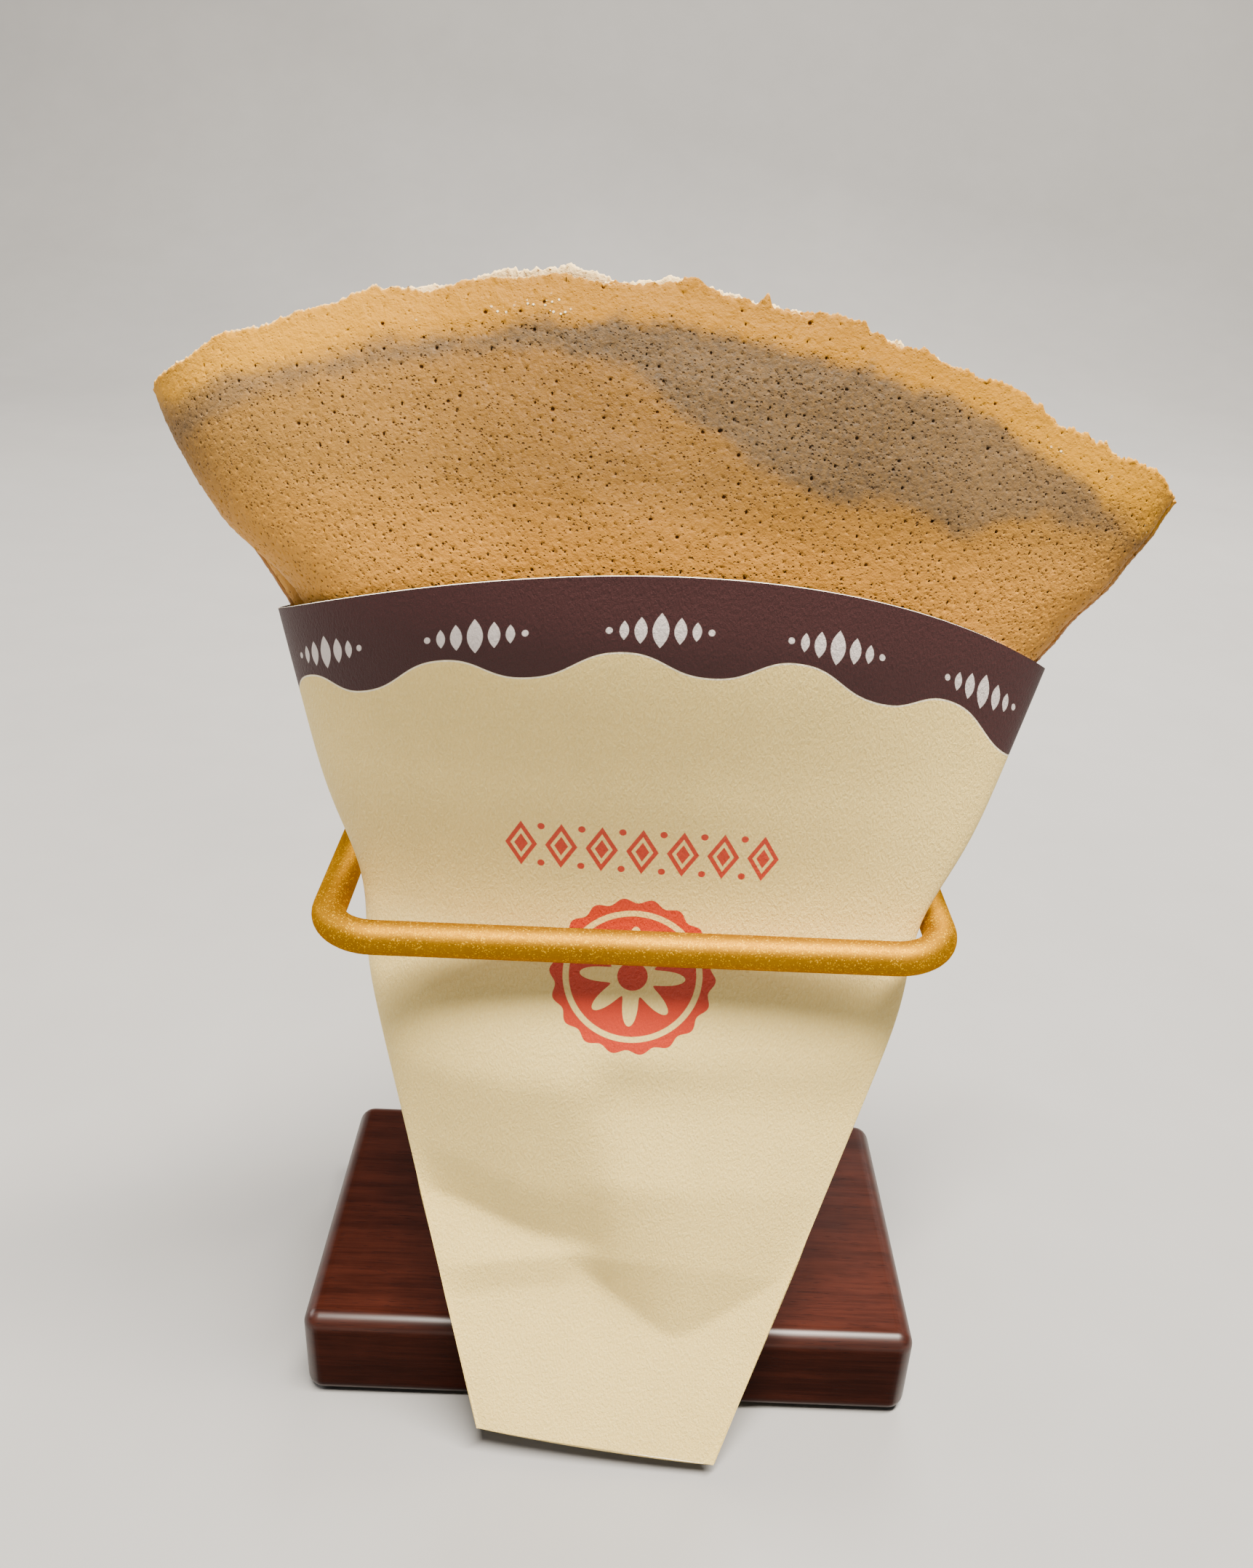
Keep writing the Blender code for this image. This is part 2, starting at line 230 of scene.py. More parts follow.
# Spikes of the front sheet's rim: place across, height, reach to the left and to the right
SPIKES = (
    (0.5, 1.7, 1.0, 7.0), (15.5, 2.3, 1.3, 1.0), (33, 0.9, 2.0, 1.0), (44, 0.7, 1.0, 1.5),
    (67, 1.1, 5.0, 0.7), (80, 0.9, 1.2, 1.0), (-20, 0.5, 1.0, 1.5), (-54, 0.6, 2.0, 0.8))

# The dark crescent of the crepe's front, painted shade of the hollow behind the sheet: heights over places
# across, in millimetres
DARK_CRESCENT_UPPER = (
    (-95, 232.5), (-80, 239), (-60, 242.3), (-35, 247.4), (-17, 251), (10, 249.8), (40, 245.3),
    (60, 239), (75, 231), (88, 220.5))
DARK_CRESCENT_LOWER = (
    (-93, 224), (-80, 231), (-60, 237.5), (-30, 244.5), (-10, 243), (3, 236), (13, 229), (20, 225.5),
    (33, 223.5), (45, 222), (57, 218.5), (66, 222.5), (78, 221), (88, 219))
DARK_CRESCENT_FAINTNESS = 0.6
DARK_CRESCENT_FAINT_SIDE = -30
DARK_CRESCENT_FAINT_REACH = 45
# The looser darker ring of the other sheets: its depth below the rim and its width
RING_DEPTH = 15.0
RING_WANDER = 6.0
RING_WIDTH = 6.0
RING_SPREAD = 9.0

# Dry, pale places at the rim
DRY_REACH = 1.9
DRY_REACH_INSIDE = 3.6
DRY_WANDER = 2.6
DRY_TIP_SIDE = -101
DRY_TIP_REACH = 4.6
FROST = (0.52, 0.36)
FROST_REACH = 0.7

# Places of the widest pores: across and height
BIG_PORES = (
    (17.5, 236.5), (20.5, 237), (25, 232), (13, 229.5), (26, 224.5), (11, 222), (15, 219.5), (49, 220.5),
    (60, 236.5))


def smooth_through(stations, place):
    """Value of a smooth curve through stations, at a place along them."""
    last = len(stations) - 1
    if place <= stations[0][0]:
        return stations[0][1]
    if place >= stations[last][0]:
        return stations[last][1]
    i = 0
    while place > stations[i + 1][0]:
        i += 1

    def slope(k):
        before = stations[max(k - 1, 0)]
        after = stations[min(k + 1, last)]
        return (after[1] - before[1]) / (after[0] - before[0])

    (x0, y0), (x1, y1) = stations[i], stations[i + 1]
    span = x1 - x0
    f = (place - x0) / span
    start = (1 + 2 * f) * (1 - f) ** 2 * y0 + f * (1 - f) ** 2 * span * slope(i)
    end = f * f * (3 - 2 * f) * y1 + f * f * (f - 1) * span * slope(i + 1)
    return start + end


def ease(value):
    """A smooth step from 0 to 1 for a value from 0 to 1."""
    f = min(max(value, 0.0), 1.0)
    return f * f * (3 - 2 * f)


def blend(first, second, share):
    """The value a share of the way from the first to the second."""
    return first + (second - first) * share


def uneven(x, y, z):
    """Smooth unevenness between -1 and 1."""
    return noise.noise(Vector((x, y, z)))


def bowed(across):
    """Half a round section, from 0 at either side to 1 in the middle."""
    return math.sqrt(max(0.0, 1 - across * across))


# Shader helpers
class Nodes:
    """Short calls that add linked nodes to one material or node group."""

    def __init__(self, tree):
        self.tree = tree

    def add(self, kind, **settings):
        node = self.tree.nodes.new(kind)
        for name, value in settings.items():
            setattr(node, name, value)
        return node

    def put(self, socket, value):
        if isinstance(value, bpy.types.NodeSocket):
            self.tree.links.new(value, socket)
        else:
            socket.default_value = value

    def fill(self, node, values):
        """Sets or links a node's inputs by name; its outputs."""
        for name, value in values.items():
            self.put(node.inputs[name], value)
        return node.outputs

    def math(self, operation, *values):
        node = self.add("ShaderNodeMath", operation=operation)
        for socket, value in zip(node.inputs, values):
            self.put(socket, value)
        return node.outputs[0]

    def times(self, first, second):
        return self.math("MULTIPLY", first, second)

    def times_plus(self, value, factor, rest):
        return self.math("MULTIPLY_ADD", value, factor, rest)

    def over(self, first, second):
        return self.math("DIVIDE", first, second)

    def plus(self, first, second):
        return self.math("ADD", first, second)

    def minus(self, first, second):
        return self.math("SUBTRACT", first, second)

    def larger(self, first, second):
        return self.math("MAXIMUM", first, second)

    def size(self, value):
        return self.math("ABSOLUTE", value)

    def cosine(self, value):
        return self.math("COSINE", value)

    def step(self, value, low, high):
        node = self.add("ShaderNodeMapRange", interpolation_type="SMOOTHSTEP")
        return self.fill(node, {"Value": value, "From Min": low, "From Max": high})["Result"]

    def spread(self, value, low, high, to_low, to_high):
        node = self.add("ShaderNodeMapRange", clamp=True)
        ends = {"Value": value, "From Min": low, "From Max": high, "To Min": to_low, "To Max": to_high}
        return self.fill(node, ends)["Result"]

    def mix(self, share, first, second, blend_type="MIX"):
        node = self.add("ShaderNodeMix", data_type="RGBA", blend_type=blend_type)
        return self.fill(node, {"Factor": share, "A": first, "B": second})["Result"]

    def dim(self, colour, strength):
        """A colour made darker or lighter by a grey strength."""
        return self.mix(1.0, colour, self.join(strength, strength, strength), "MULTIPLY")

    def noise(self, place, scale, detail=2.0, roughness=0.5):
        values = {"Vector": place, "Scale": scale, "Detail": detail, "Roughness": roughness}
        return self.fill(self.add("ShaderNodeTexNoise"), values)["Fac"]

    def cells(self, place, scale, output="Distance"):
        node = self.add("ShaderNodeTexVoronoi", feature="F1")
        return self.fill(node, {"Vector": place, "Scale": scale})[output]

    def attribute(self, name):
        return self.add("ShaderNodeAttribute", attribute_name=name).outputs["Fac"]

    def part_x(self, place):
        return self.fill(self.add("ShaderNodeSeparateXYZ"), {"Vector": place})["X"]

    def object_place(self):
        return self.add("ShaderNodeTexCoord").outputs["Object"]

    def stretch(self, place, scale, turn=(0, 0, 0)):
        node = self.add("ShaderNodeMapping")
        return self.fill(node, {"Vector": place, "Scale": scale, "Rotation": turn})["Vector"]

    def join(self, x, y, z=0.0):
        return self.fill(self.add("ShaderNodeCombineXYZ"), {"X": x, "Y": y, "Z": z})["Vector"]

    def bump(self, height, depth):
        return self.fill(self.add("ShaderNodeBump"), {"Height": height, "Distance": depth})["Normal"]


def new_material(name):
    """A material, the short calls for its nodes, and its Principled shader."""
    made = bpy.data.materials.new(name)
    made.use_nodes = True
    return made, Nodes(made.node_tree), made.node_tree.nodes["Principled BSDF"]


def make_mottle_group():
    """Cloudy unevenness at two sizes, between two limits, for every finish."""
    group = bpy.data.node_groups.new("mottle", "ShaderNodeTree")
    group.interface.new_socket("Place", in_out="INPUT", socket_type="NodeSocketVector")
    for name in ("Scale", "Low", "High"):
        group.interface.new_socket(name, in_out="INPUT", socket_type="NodeSocketFloat")
    group.interface.new_socket("Value", in_out="OUTPUT", socket_type="NodeSocketFloat")
    nodes = Nodes(group)
    given = nodes.add("NodeGroupInput").outputs
    broad = nodes.noise(given["Place"], given["Scale"], 3.0, 0.55)
    fine = nodes.noise(given["Place"], nodes.times(given["Scale"], 5.3), 2.0, 0.6)
    both = nodes.times_plus(fine, 0.35, nodes.times(broad, 0.65))
    value = nodes.spread(both, 0.3, 0.7, given["Low"], given["High"])
    nodes.fill(nodes.add("NodeGroupOutput"), {"Value": value})
    return group


MOTTLE = make_mottle_group()


def mottle(nodes, place, scale, low, high):
    """The mottle group, placed in one material with its own values."""
    node = nodes.add("ShaderNodeGroup", node_tree=MOTTLE)
    return nodes.fill(node, {"Place": place, "Scale": scale, "Low": low, "High": high})["Value"]


# Colours of the stand and the card
WOOD_DARK = (0.014, 0.0029, 0.0015, 1)
WOOD_LIGHT = (0.031, 0.0070, 0.0036, 1)
WOOD_PORE = (0.009, 0.002, 0.0015, 1)
GOLD_DEEP = (0.28, 0.128, 0.0003, 1)
GOLD_LIGHT = (0.34, 0.162, 0.0005, 1)
GOLD_GLINT = (0.62, 0.36, 0.004, 1)
GOLD_SHINE = (1.0, 0.62, 0.08, 1)
CARD_LIGHT = (0.85, 0.640, 0.215, 1)
CARD_DEEP = (0.80, 0.585, 0.18, 1)
# Painted highlight: the lighter colour of the raised felt emboss
CARD_PAINTED_HIGHLIGHT = (0.875, 0.685, 0.250, 1)
CARD_SPECK = (0.42, 0.27, 0.12, 1)
CORE_DULL = (0.84, 0.80, 0.70, 1)
CORE_WHITE = (0.92, 0.90, 0.84, 1)
LINE_CREAM = (0.86, 0.80, 0.66, 1)
# The inks, each where it is full and where it is thin
RED_INK = ((0.56, 0.040, 0.010, 1), (0.48, 0.030, 0.008, 1))
DARK_INK = ((0.036, 0.0122, 0.0126, 1), (0.050, 0.0182, 0.0186, 1))
PALE_INK = ((0.63, 0.57, 0.55, 1), (0.56, 0.50, 0.48, 1))


def make_wood():
    """Dark red-brown wood under satin lacquer, its grain along the block."""
    made, nodes, shader = new_material("lacquered_wood")
    place = nodes.object_place()
    along = nodes.stretch(place, (0.05, 1.0, 1.0), (0.02, 0.015, 0.0))
    bands = nodes.noise(along, 260.0, 4.0, 0.6)
    fibres = nodes.noise(along, 1500.0, 3.0, 0.65)
    pores = nodes.noise(nodes.stretch(place, (0.09, 1.0, 1.0)), 2600.0, 1.0, 0.5)
    grain = nodes.times_plus(fibres, 0.4, nodes.times(bands, 0.6))
    pore = nodes.step(pores, 0.64, 0.72)
    colour = nodes.mix(nodes.step(grain, 0.34, 0.66), WOOD_DARK, WOOD_LIGHT)
    colour = nodes.mix(nodes.times(pore, 0.6), colour, WOOD_PORE)
    relief = nodes.minus(nodes.times(fibres, 0.5), nodes.times(pore, 0.7))
    nodes.fill(shader, {
        "Base Color": nodes.dim(colour, mottle(nodes, place, 28.0, 0.75, 1.2)),
        "Roughness": mottle(nodes, place, 90.0, 0.36, 0.47),
        "Specular IOR Level": 0.015,
        "Coat Weight": nodes.spread(nodes.attribute("rounding"), 0.0, 1.0, 0.025, 0.85),
        "Coat Roughness": 0.36,
        "Normal": nodes.bump(relief, 0.00005)})
    return made


def make_gold():
    """Satin gold metallic paint with a fine sparkle."""
    made, nodes, shader = new_material("gold_paint")
    place = nodes.object_place()
    flake = nodes.fill(nodes.add("ShaderNodeSeparateColor"), {"Color": nodes.cells(place, 4200.0, "Color")})
    glint = flake["Red"]
    colour = nodes.mix(mottle(nodes, place, 70.0, 0.0, 1.0), GOLD_DEEP, GOLD_LIGHT)
    relief = nodes.times_plus(nodes.noise(place, 2600.0, 2.0, 0.6), 0.3, nodes.times(glint, 0.25))
    nodes.fill(shader, {
        "Base Color": nodes.mix(nodes.step(glint, 0.86, 0.98), colour, GOLD_GLINT),
        "Metallic": 1.0,
        "Specular Tint": GOLD_SHINE,
        "Roughness": nodes.spread(glint, 0.0, 1.0, 0.54, 0.70),
        "Normal": nodes.bump(relief, 0.00006)})
    return made


# Places of the print on the card, in millimetres
INK_EDGE = 0.09
SOFT_EDGE = 0.1
WAVE_PERIOD = 33.7
WAVE_PEAK = -5.4
WAVE_RISE = 2.5
WAVE_FULLNESS = 0.05
BAND_DEPTH = 16.5
LINE_WIDTH = 0.32
LINE_SOFTNESS = 0.08
MOTIF_CENTRE = 1.6
MOTIF_DEPTH = 9.9
# Leaves of a motif: place from its middle, half width and half height
MOTIF_LEAVES = ((0.0, 1.5, 3.3), (3.6, 1.15, 2.5), (6.6, 0.85, 1.8))
MOTIF_DOT = (9.3, 0.62)
LOZENGE_PLACE = (0.7, 151.5)
LOZENGE_PERIOD = 8.2
LOZENGE_HALF = (3.3, 5.2)
LOZENGE_GAP = (0.43, 0.67)
LOZENGE_SOFTNESS = 0.03
LOZENGE_ROW_HALF = 28.7
BEAD_RISE = 4.3
BEAD_RADIUS = 0.75
ROSETTE_PLACE = (0.5, 123.0)
ROSETTE_RADIUS = 17.0
# Waves round the rosette: how many, and how deep
SCALLOPS = (18.0, 0.55)
PETALS = (8.0, 3.1)
PETAL_RADIUS = 8.0
ROSETTE_GAP = (13.4, 14.7)
EYE_RADIUS = 3.2


def make_card_print(nodes, across, up, below):
    """Masks of the dark band, its pale line and motifs, and the red ornaments."""
    def within(value, limit, soft=INK_EDGE):
        """1 where a value is under a limit, with a soft edge."""
        return nodes.step(value, limit + soft, limit - soft)

    def repeat(value, centre, period):
        """Distance to the nearest of evenly spaced centres."""
        moved = nodes.over(nodes.minus(value, centre), period)
        off = nodes.minus(moved, nodes.math("ROUND", moved))
        return nodes.size(nodes.times(off, period))

    def reach(x, y):
        """Distance from the middle of an ornament."""
        squares = nodes.plus(nodes.math("POWER", x, 2.0), nodes.math("POWER", y, 2.0))
        return nodes.math("SQRT", squares)

    def leaf(side, tall, centre, half, height):
        """A pointed oval."""
        off = nodes.over(nodes.size(nodes.minus(side, centre)), half)
        rise = nodes.math("POWER", nodes.over(tall, height), 2.0)
        return within(nodes.plus(off, rise), 1.0, INK_EDGE / half)

    def dot(side, tall, radius):
        return within(reach(side, tall), radius)

    turn = nodes.times(nodes.minus(across, WAVE_PEAK), 2 * math.pi / WAVE_PERIOD)
    wave = nodes.times_plus(nodes.cosine(nodes.times(turn, 3.0)), -WAVE_FULLNESS, nodes.cosine(turn))
    past = nodes.minus(below, nodes.times_plus(wave, -WAVE_RISE, BAND_DEPTH))
    band = within(past, 0.0)
    line = nodes.minus(within(past, LINE_WIDTH, LINE_SOFTNESS), band)

    side = repeat(across, MOTIF_CENTRE, WAVE_PERIOD)
    tall = nodes.size(nodes.minus(below, MOTIF_DEPTH))
    motif = dot(nodes.minus(side, MOTIF_DOT[0]), tall, MOTIF_DOT[1])
    for centre, half, height in MOTIF_LEAVES:
        motif = nodes.larger(motif, leaf(side, tall, centre, half, height))
    motif = nodes.times(motif, band)

    place = nodes.minus(across, LOZENGE_PLACE[0])
    high = nodes.size(nodes.minus(up, LOZENGE_PLACE[1]))
    off = nodes.over(repeat(place, 0.0, LOZENGE_PERIOD), LOZENGE_HALF[0])
    ring = nodes.plus(off, nodes.over(high, LOZENGE_HALF[1]))
    core, wall, outside = [within(ring, limit, LOZENGE_SOFTNESS) for limit in (*LOZENGE_GAP, 1.0)]
    lozenge = nodes.minus(outside, nodes.minus(wall, core))
    lozenge = nodes.times(lozenge, within(nodes.size(place), LOZENGE_ROW_HALF, SOFT_EDGE))
    between = repeat(place, LOZENGE_PERIOD / 2, LOZENGE_PERIOD)
    beads = dot(between, nodes.minus(high, BEAD_RISE), BEAD_RADIUS)
    beads = nodes.times(beads, within(nodes.size(place), LOZENGE_ROW_HALF - LOZENGE_PERIOD / 2, SOFT_EDGE))

    x = nodes.minus(across, ROSETTE_PLACE[0])
    y = nodes.minus(up, ROSETTE_PLACE[1])
    radius = reach(x, y)
    angle = nodes.math("ARCTAN2", y, x)

    def waved(count, depth):
        """The radius, drawn in and out by waves round the rosette."""
        return nodes.minus(radius, nodes.times(nodes.cosine(nodes.times(angle, count)), depth))

    inner, outer = [within(radius, limit, SOFT_EDGE) for limit in ROSETTE_GAP]
    disc = nodes.minus(within(waved(*SCALLOPS), ROSETTE_RADIUS), nodes.minus(outer, inner))
    eye = within(radius, EYE_RADIUS, SOFT_EDGE)
    flower = nodes.minus(within(waved(*PETALS), PETAL_RADIUS, SOFT_EDGE), eye)
    rosette = nodes.larger(nodes.minus(disc, flower), 0.0)
    red = nodes.larger(nodes.larger(lozenge, beads), rosette)
    return band, line, motif, red


def make_card():
    """Cream felt-embossed card with a dark wavy band and red ornaments."""
    made, nodes, shader = new_material("printed_card")
    across = nodes.attribute("paper_across")
    up = nodes.attribute("paper_up")
    band, line, motif, red = make_card_print(nodes, across, up, nodes.attribute("below_mouth"))
    sheet = nodes.join(across, up)
    felt = nodes.noise(nodes.stretch(sheet, (1.0, 0.45, 1.0), (0, 0, math.radians(-52))), 1.9, 3.0, 0.6)
    weft = nodes.noise(nodes.stretch(sheet, (1.0, 0.6, 1.0), (0, 0, math.radians(-30))), 2.4, 2.0, 0.55)
    fleck = nodes.noise(sheet, 4.5, 2.0, 0.6)
    emboss = nodes.times_plus(felt, 0.65, nodes.times(weft, 0.35))
    colour = nodes.mix(nodes.step(fleck, 0.35, 0.7), CARD_LIGHT, CARD_DEEP)
    # Painted highlight: the raised parts of the felt emboss are lightened
    colour = nodes.mix(nodes.step(emboss, 0.42, 0.66), colour, CARD_PAINTED_HIGHLIGHT)
    speck = nodes.step(nodes.cells(sheet, 0.31), 0.026, 0.012)
    colour = nodes.mix(nodes.times(speck, 0.35), colour, CARD_SPECK)
    thin = nodes.step(fleck, 0.3, 0.75)
    colour = nodes.mix(red, colour, nodes.mix(thin, *RED_INK))
    colour = nodes.mix(band, colour, nodes.mix(thin, *DARK_INK))
    colour = nodes.mix(nodes.times(line, 0.8), colour, LINE_CREAM)
    colour = nodes.mix(motif, colour, nodes.mix(thin, *PALE_INK))
    gloss = nodes.spread(emboss, 0.45, 0.65, 0.60, 0.42)
    nodes.fill(shader, {
        "Base Color": nodes.dim(colour, mottle(nodes, sheet, 0.035, 0.93, 1.04)),
        "Roughness": nodes.spread(nodes.larger(band, red), 0.0, 1.0, gloss, 0.50),
        "Specular IOR Level": nodes.spread(band, 0.0, 1.0, 0.42, 0.20),
        "Normal": nodes.bump(nodes.times_plus(fleck, 0.22, emboss), 0.00038)})
    return made


def make_card_edge():
    """The white core of the card, seen along its cut edges."""
    made, nodes, shader = new_material("card_core")
    cloud = mottle(nodes, nodes.object_place(), 900.0, 0.0, 1.0)
    nodes.fill(shader, {"Base Color": nodes.mix(cloud, CORE_DULL, CORE_WHITE), "Roughness": 0.8})
    return made


# Colours of the crepe, each pair for its light and its deep clouds
GOLDEN = ((0.156, 0.074, 0.014, 1), (0.118, 0.057, 0.012, 1))
# Painted shade: the grey-brown of the dark crescent on the front; the other sheets' darker ring takes it
# too
DARK_CRESCENT_COLOURS = ((0.078, 0.050, 0.025, 1), (0.059, 0.039, 0.0215, 1))
AMBER = (0.43, 0.186, 0.024, 1)
RIM_YELLOW = (0.278, 0.122, 0.003, 1)
# Painted light: a tint that lightens the crepe's left and right sides
SIDE_PAINTED_LIGHT_TINT = (1.85, 1.97, 2.2, 1)
DRY_CRUMB = (0.74, 0.55, 0.27, 1)
GRAIN_GOLD = (0.50, 0.24, 0.02, 1)
GLINT_CREAM = (0.90, 0.74, 0.46, 1)
# Painted shade in pores and pinholes: outside the dark crescent and inside it
PAINTED_HOLE_SHADES = ((0.095, 0.038, 0.009, 1), (0.040, 0.021, 0.011, 1))
FOLD_AMBER = (0.30, 0.105, 0.012, 1)


def make_crepe_finish():
    """Browned batter: a pale rim, a dark crescent of painted shade, golden below, painted light on its
    sides, and pores with painted shade all over.
    """
    made, nodes, shader = new_material("browned_crepe")
    place = nodes.object_place()
    fold_gloss = nodes.attribute("fold_gloss")
    wander = nodes.times_plus(nodes.noise(place, 120.0, 4.0, 0.62), 9.0, -4.5)
    cloud = mottle(nodes, place, 42.0, 0.0, 1.0)
    side = nodes.part_x(place)
    # Painted light: the crepe's left and right sides are lightened, and their dark crescent weakened
    side_painted_light = nodes.larger(nodes.step(side, -0.015, -0.080), nodes.times(nodes.step(side, 0.030, 0.095), 0.62))
    # Painted shade: the dark crescent under the front sheet's rim
    dark_crescent = nodes.step(nodes.plus(nodes.attribute("dark_crescent_depth"), wander), -1.8, 2.6)
    dark_crescent = nodes.times(dark_crescent, nodes.times_plus(side_painted_light, -0.35, 1.0))
    amber = nodes.step(nodes.attribute("cone_height"), 226.0, 204.0)
    colour = nodes.mix(nodes.times(amber, 0.75), nodes.mix(cloud, *GOLDEN), AMBER)
    colour = nodes.mix(dark_crescent, colour, nodes.mix(cloud, *DARK_CRESCENT_COLOURS))
    band_edge = nodes.times_plus(wander, 0.4, nodes.attribute("below_rim"))
    rim = nodes.times(nodes.step(band_edge, 10.5, 5.5), nodes.minus(1.0, dark_crescent))
    colour = nodes.mix(nodes.times(rim, 0.85), colour, RIM_YELLOW)
    colour = nodes.mix(side_painted_light, colour, nodes.mix(1.0, colour, SIDE_PAINTED_LIGHT_TINT, "MULTIPLY"))
    crumb = nodes.times_plus(wander, 0.05, nodes.attribute("dryness"))
    colour = nodes.mix(nodes.step(crumb, 0.25, 0.75), colour, DRY_CRUMB)
    grain = nodes.noise(place, 1500.0, 3.0, 0.6)
    colour = nodes.mix(nodes.spread(grain, 0.35, 0.7, 0.0, 0.12), colour, GRAIN_GOLD)

    def spots(cell_scale, outer, inner, patch_scale, low, high):
        """Small round spots, gathered in patches."""
        cells = nodes.step(nodes.cells(place, cell_scale), outer, inner)
        return nodes.times(cells, nodes.step(nodes.noise(place, patch_scale), low, high))

    glint = nodes.times(spots(950.0, 0.30, 0.16, 130.0, 0.60, 0.68), nodes.step(band_edge, 3.0, 5.0))
    glint = nodes.times(glint, nodes.times(rim, nodes.minus(1.0, fold_gloss)))
    colour = nodes.mix(nodes.times(glint, 0.85), colour, GLINT_CREAM)
    open_skin = nodes.minus(1.0, nodes.larger(fold_gloss, nodes.times(rim, 0.75)))
    specks = nodes.times(spots(1350.0, 0.27, 0.05, 330.0, 0.40, 0.50), 0.8)
    pinholes = nodes.larger(spots(820.0, 0.25, 0.04, 260.0, 0.38, 0.46), specks)
    pinholes = nodes.times(pinholes, open_skin)
    # Painted shade: pore floors and the shader's pinholes and specks are darkened
    painted_hole_shade = nodes.larger(nodes.step(nodes.attribute("pore"), 0.35, 0.95), nodes.times(pinholes, 0.8))
    colour = nodes.mix(nodes.times(painted_hole_shade, 0.85), colour, nodes.mix(dark_crescent, *PAINTED_HOLE_SHADES))
    colour = nodes.mix(nodes.times(fold_gloss, 0.75), colour, FOLD_AMBER)
    rough = mottle(nodes, place, 160.0, 0.50, 0.64)
    relief = nodes.minus(nodes.times(grain, 0.5), pinholes)
    relief = nodes.times_plus(nodes.noise(place, 470.0, 3.0, 0.6), 0.9, relief)
    relief = nodes.times_plus(glint, 0.6, relief)
    nodes.fill(shader, {
        "Base Color": colour,
        "Roughness": nodes.times_plus(fold_gloss, -0.22, rough),
        "Specular IOR Level": 0.10,
        "Subsurface Weight": 0.06,
        "Subsurface Radius": (0.004, 0.002, 0.001),
        "Subsurface Scale": 0.5,
        "Normal": nodes.bump(relief, 0.00036)})
    return made


def add_object(name, bm, finishes, sharp_angle):
    """An object from a bmesh, smooth shaded, with its finishes."""
    mesh = bpy.data.meshes.new(name)
    bm.to_mesh(mesh)
    bm.free()
    mesh.shade_smooth()
    mesh.set_sharp_from_angle(angle=math.radians(sharp_angle))
    for finish in finishes:
        mesh.materials.append(finish)
    made = bpy.data.objects.new(name, mesh)
    bpy.context.scene.collection.objects.link(made)
    return made


def finish_piece(name, bm, finishes, node, sharp_angle):
    """A named piece of the part from a bmesh and node."""
    piece = add_object(name, bm, finishes, sharp_angle)
    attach(piece, "root")
    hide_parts(node)
    return piece


def give_wall(piece, thickness):
    """A Solidify modifier that thickens the sheet inwards, its cut edges kept crisp."""
    bm = bmesh.new()
    bm.from_mesh(piece.data)
    for edge in bm.edges:
        if edge.is_boundary:
            edge.smooth = False
    bm.to_mesh(piece.data)
    bm.free()
    wall = piece.modifiers.new("wall", "SOLIDIFY")
    wall.thickness = thickness * MM
    wall.offset = -1.0
    wall.material_offset_rim = 1


def of_kind(items, kind):
    """The verts or the edges among the items that a bmesh operator made."""
    return [item for item in items if isinstance(item, kind)]


def add_layers(bm, names):
    """Float layers that a finish reads, in the order of their names."""
    return [bm.verts.layers.float.new(name) for name in names]


def make_grid(bm, columns, rows):
    """A flat grid from -1 to 1; its vertices by column and row."""
    existing = set(bm.verts)
    bmesh.ops.create_grid(bm, x_segments=columns, y_segments=rows, size=1.0)
    grid = {}
    for vert in bm.verts:
        if vert not in existing:
            column = round((vert.co.x + 1) / 2 * columns)
            row = round((vert.co.y + 1) / 2 * rows)
            grid[column, row] = vert
    return grid


# The stand
def make_block(wood):
    """The lacquered block, with rounded edges and a narrow margin inside each flat face."""
    bm = bmesh.new()
    bmesh.ops.create_cube(bm, size=1.0)
    bmesh.ops.scale(bm, vec=BLOCK, verts=bm.verts)
    bmesh.ops.translate(bm, vec=(0, 0, BLOCK[2] / 2), verts=bm.verts)
    bmesh.ops.bevel(
        bm, geom=bm.edges, offset=BLOCK_EDGE_RADIUS, affect="EDGES", segments=BLOCK_EDGE_STEPS,
        profile=0.5, material=-1)
    flats = [face for face in bm.faces if face.calc_area() > BLOCK_FLAT_AREA]
    bmesh.ops.inset_individual(bm, faces=flats, thickness=BLOCK_EDGE_MARGIN, depth=0.0)
    bm.normal_update()
    rounding, = add_layers(bm, ("rounding",))
    for vert in bm.verts:
        vert[rounding] = ease((1 - max(abs(part) for part in vert.normal)) / BLOCK_EDGE_TURN)
    bmesh.ops.scale(bm, vec=(MM, MM, MM), verts=bm.verts)
    finish_piece("holder_block", bm, [wood], "holder_base", 60)


def extrude_ring(bm, edges, move):
    """Carries an open ring of edges on by a move; the new ring."""
    made = bmesh.ops.extrude_edge_only(bm, edges=edges)["geom"]
    bmesh.ops.translate(bm, vec=move, verts=of_kind(made, bmesh.types.BMVert))
    return of_kind(made, bmesh.types.BMEdge)


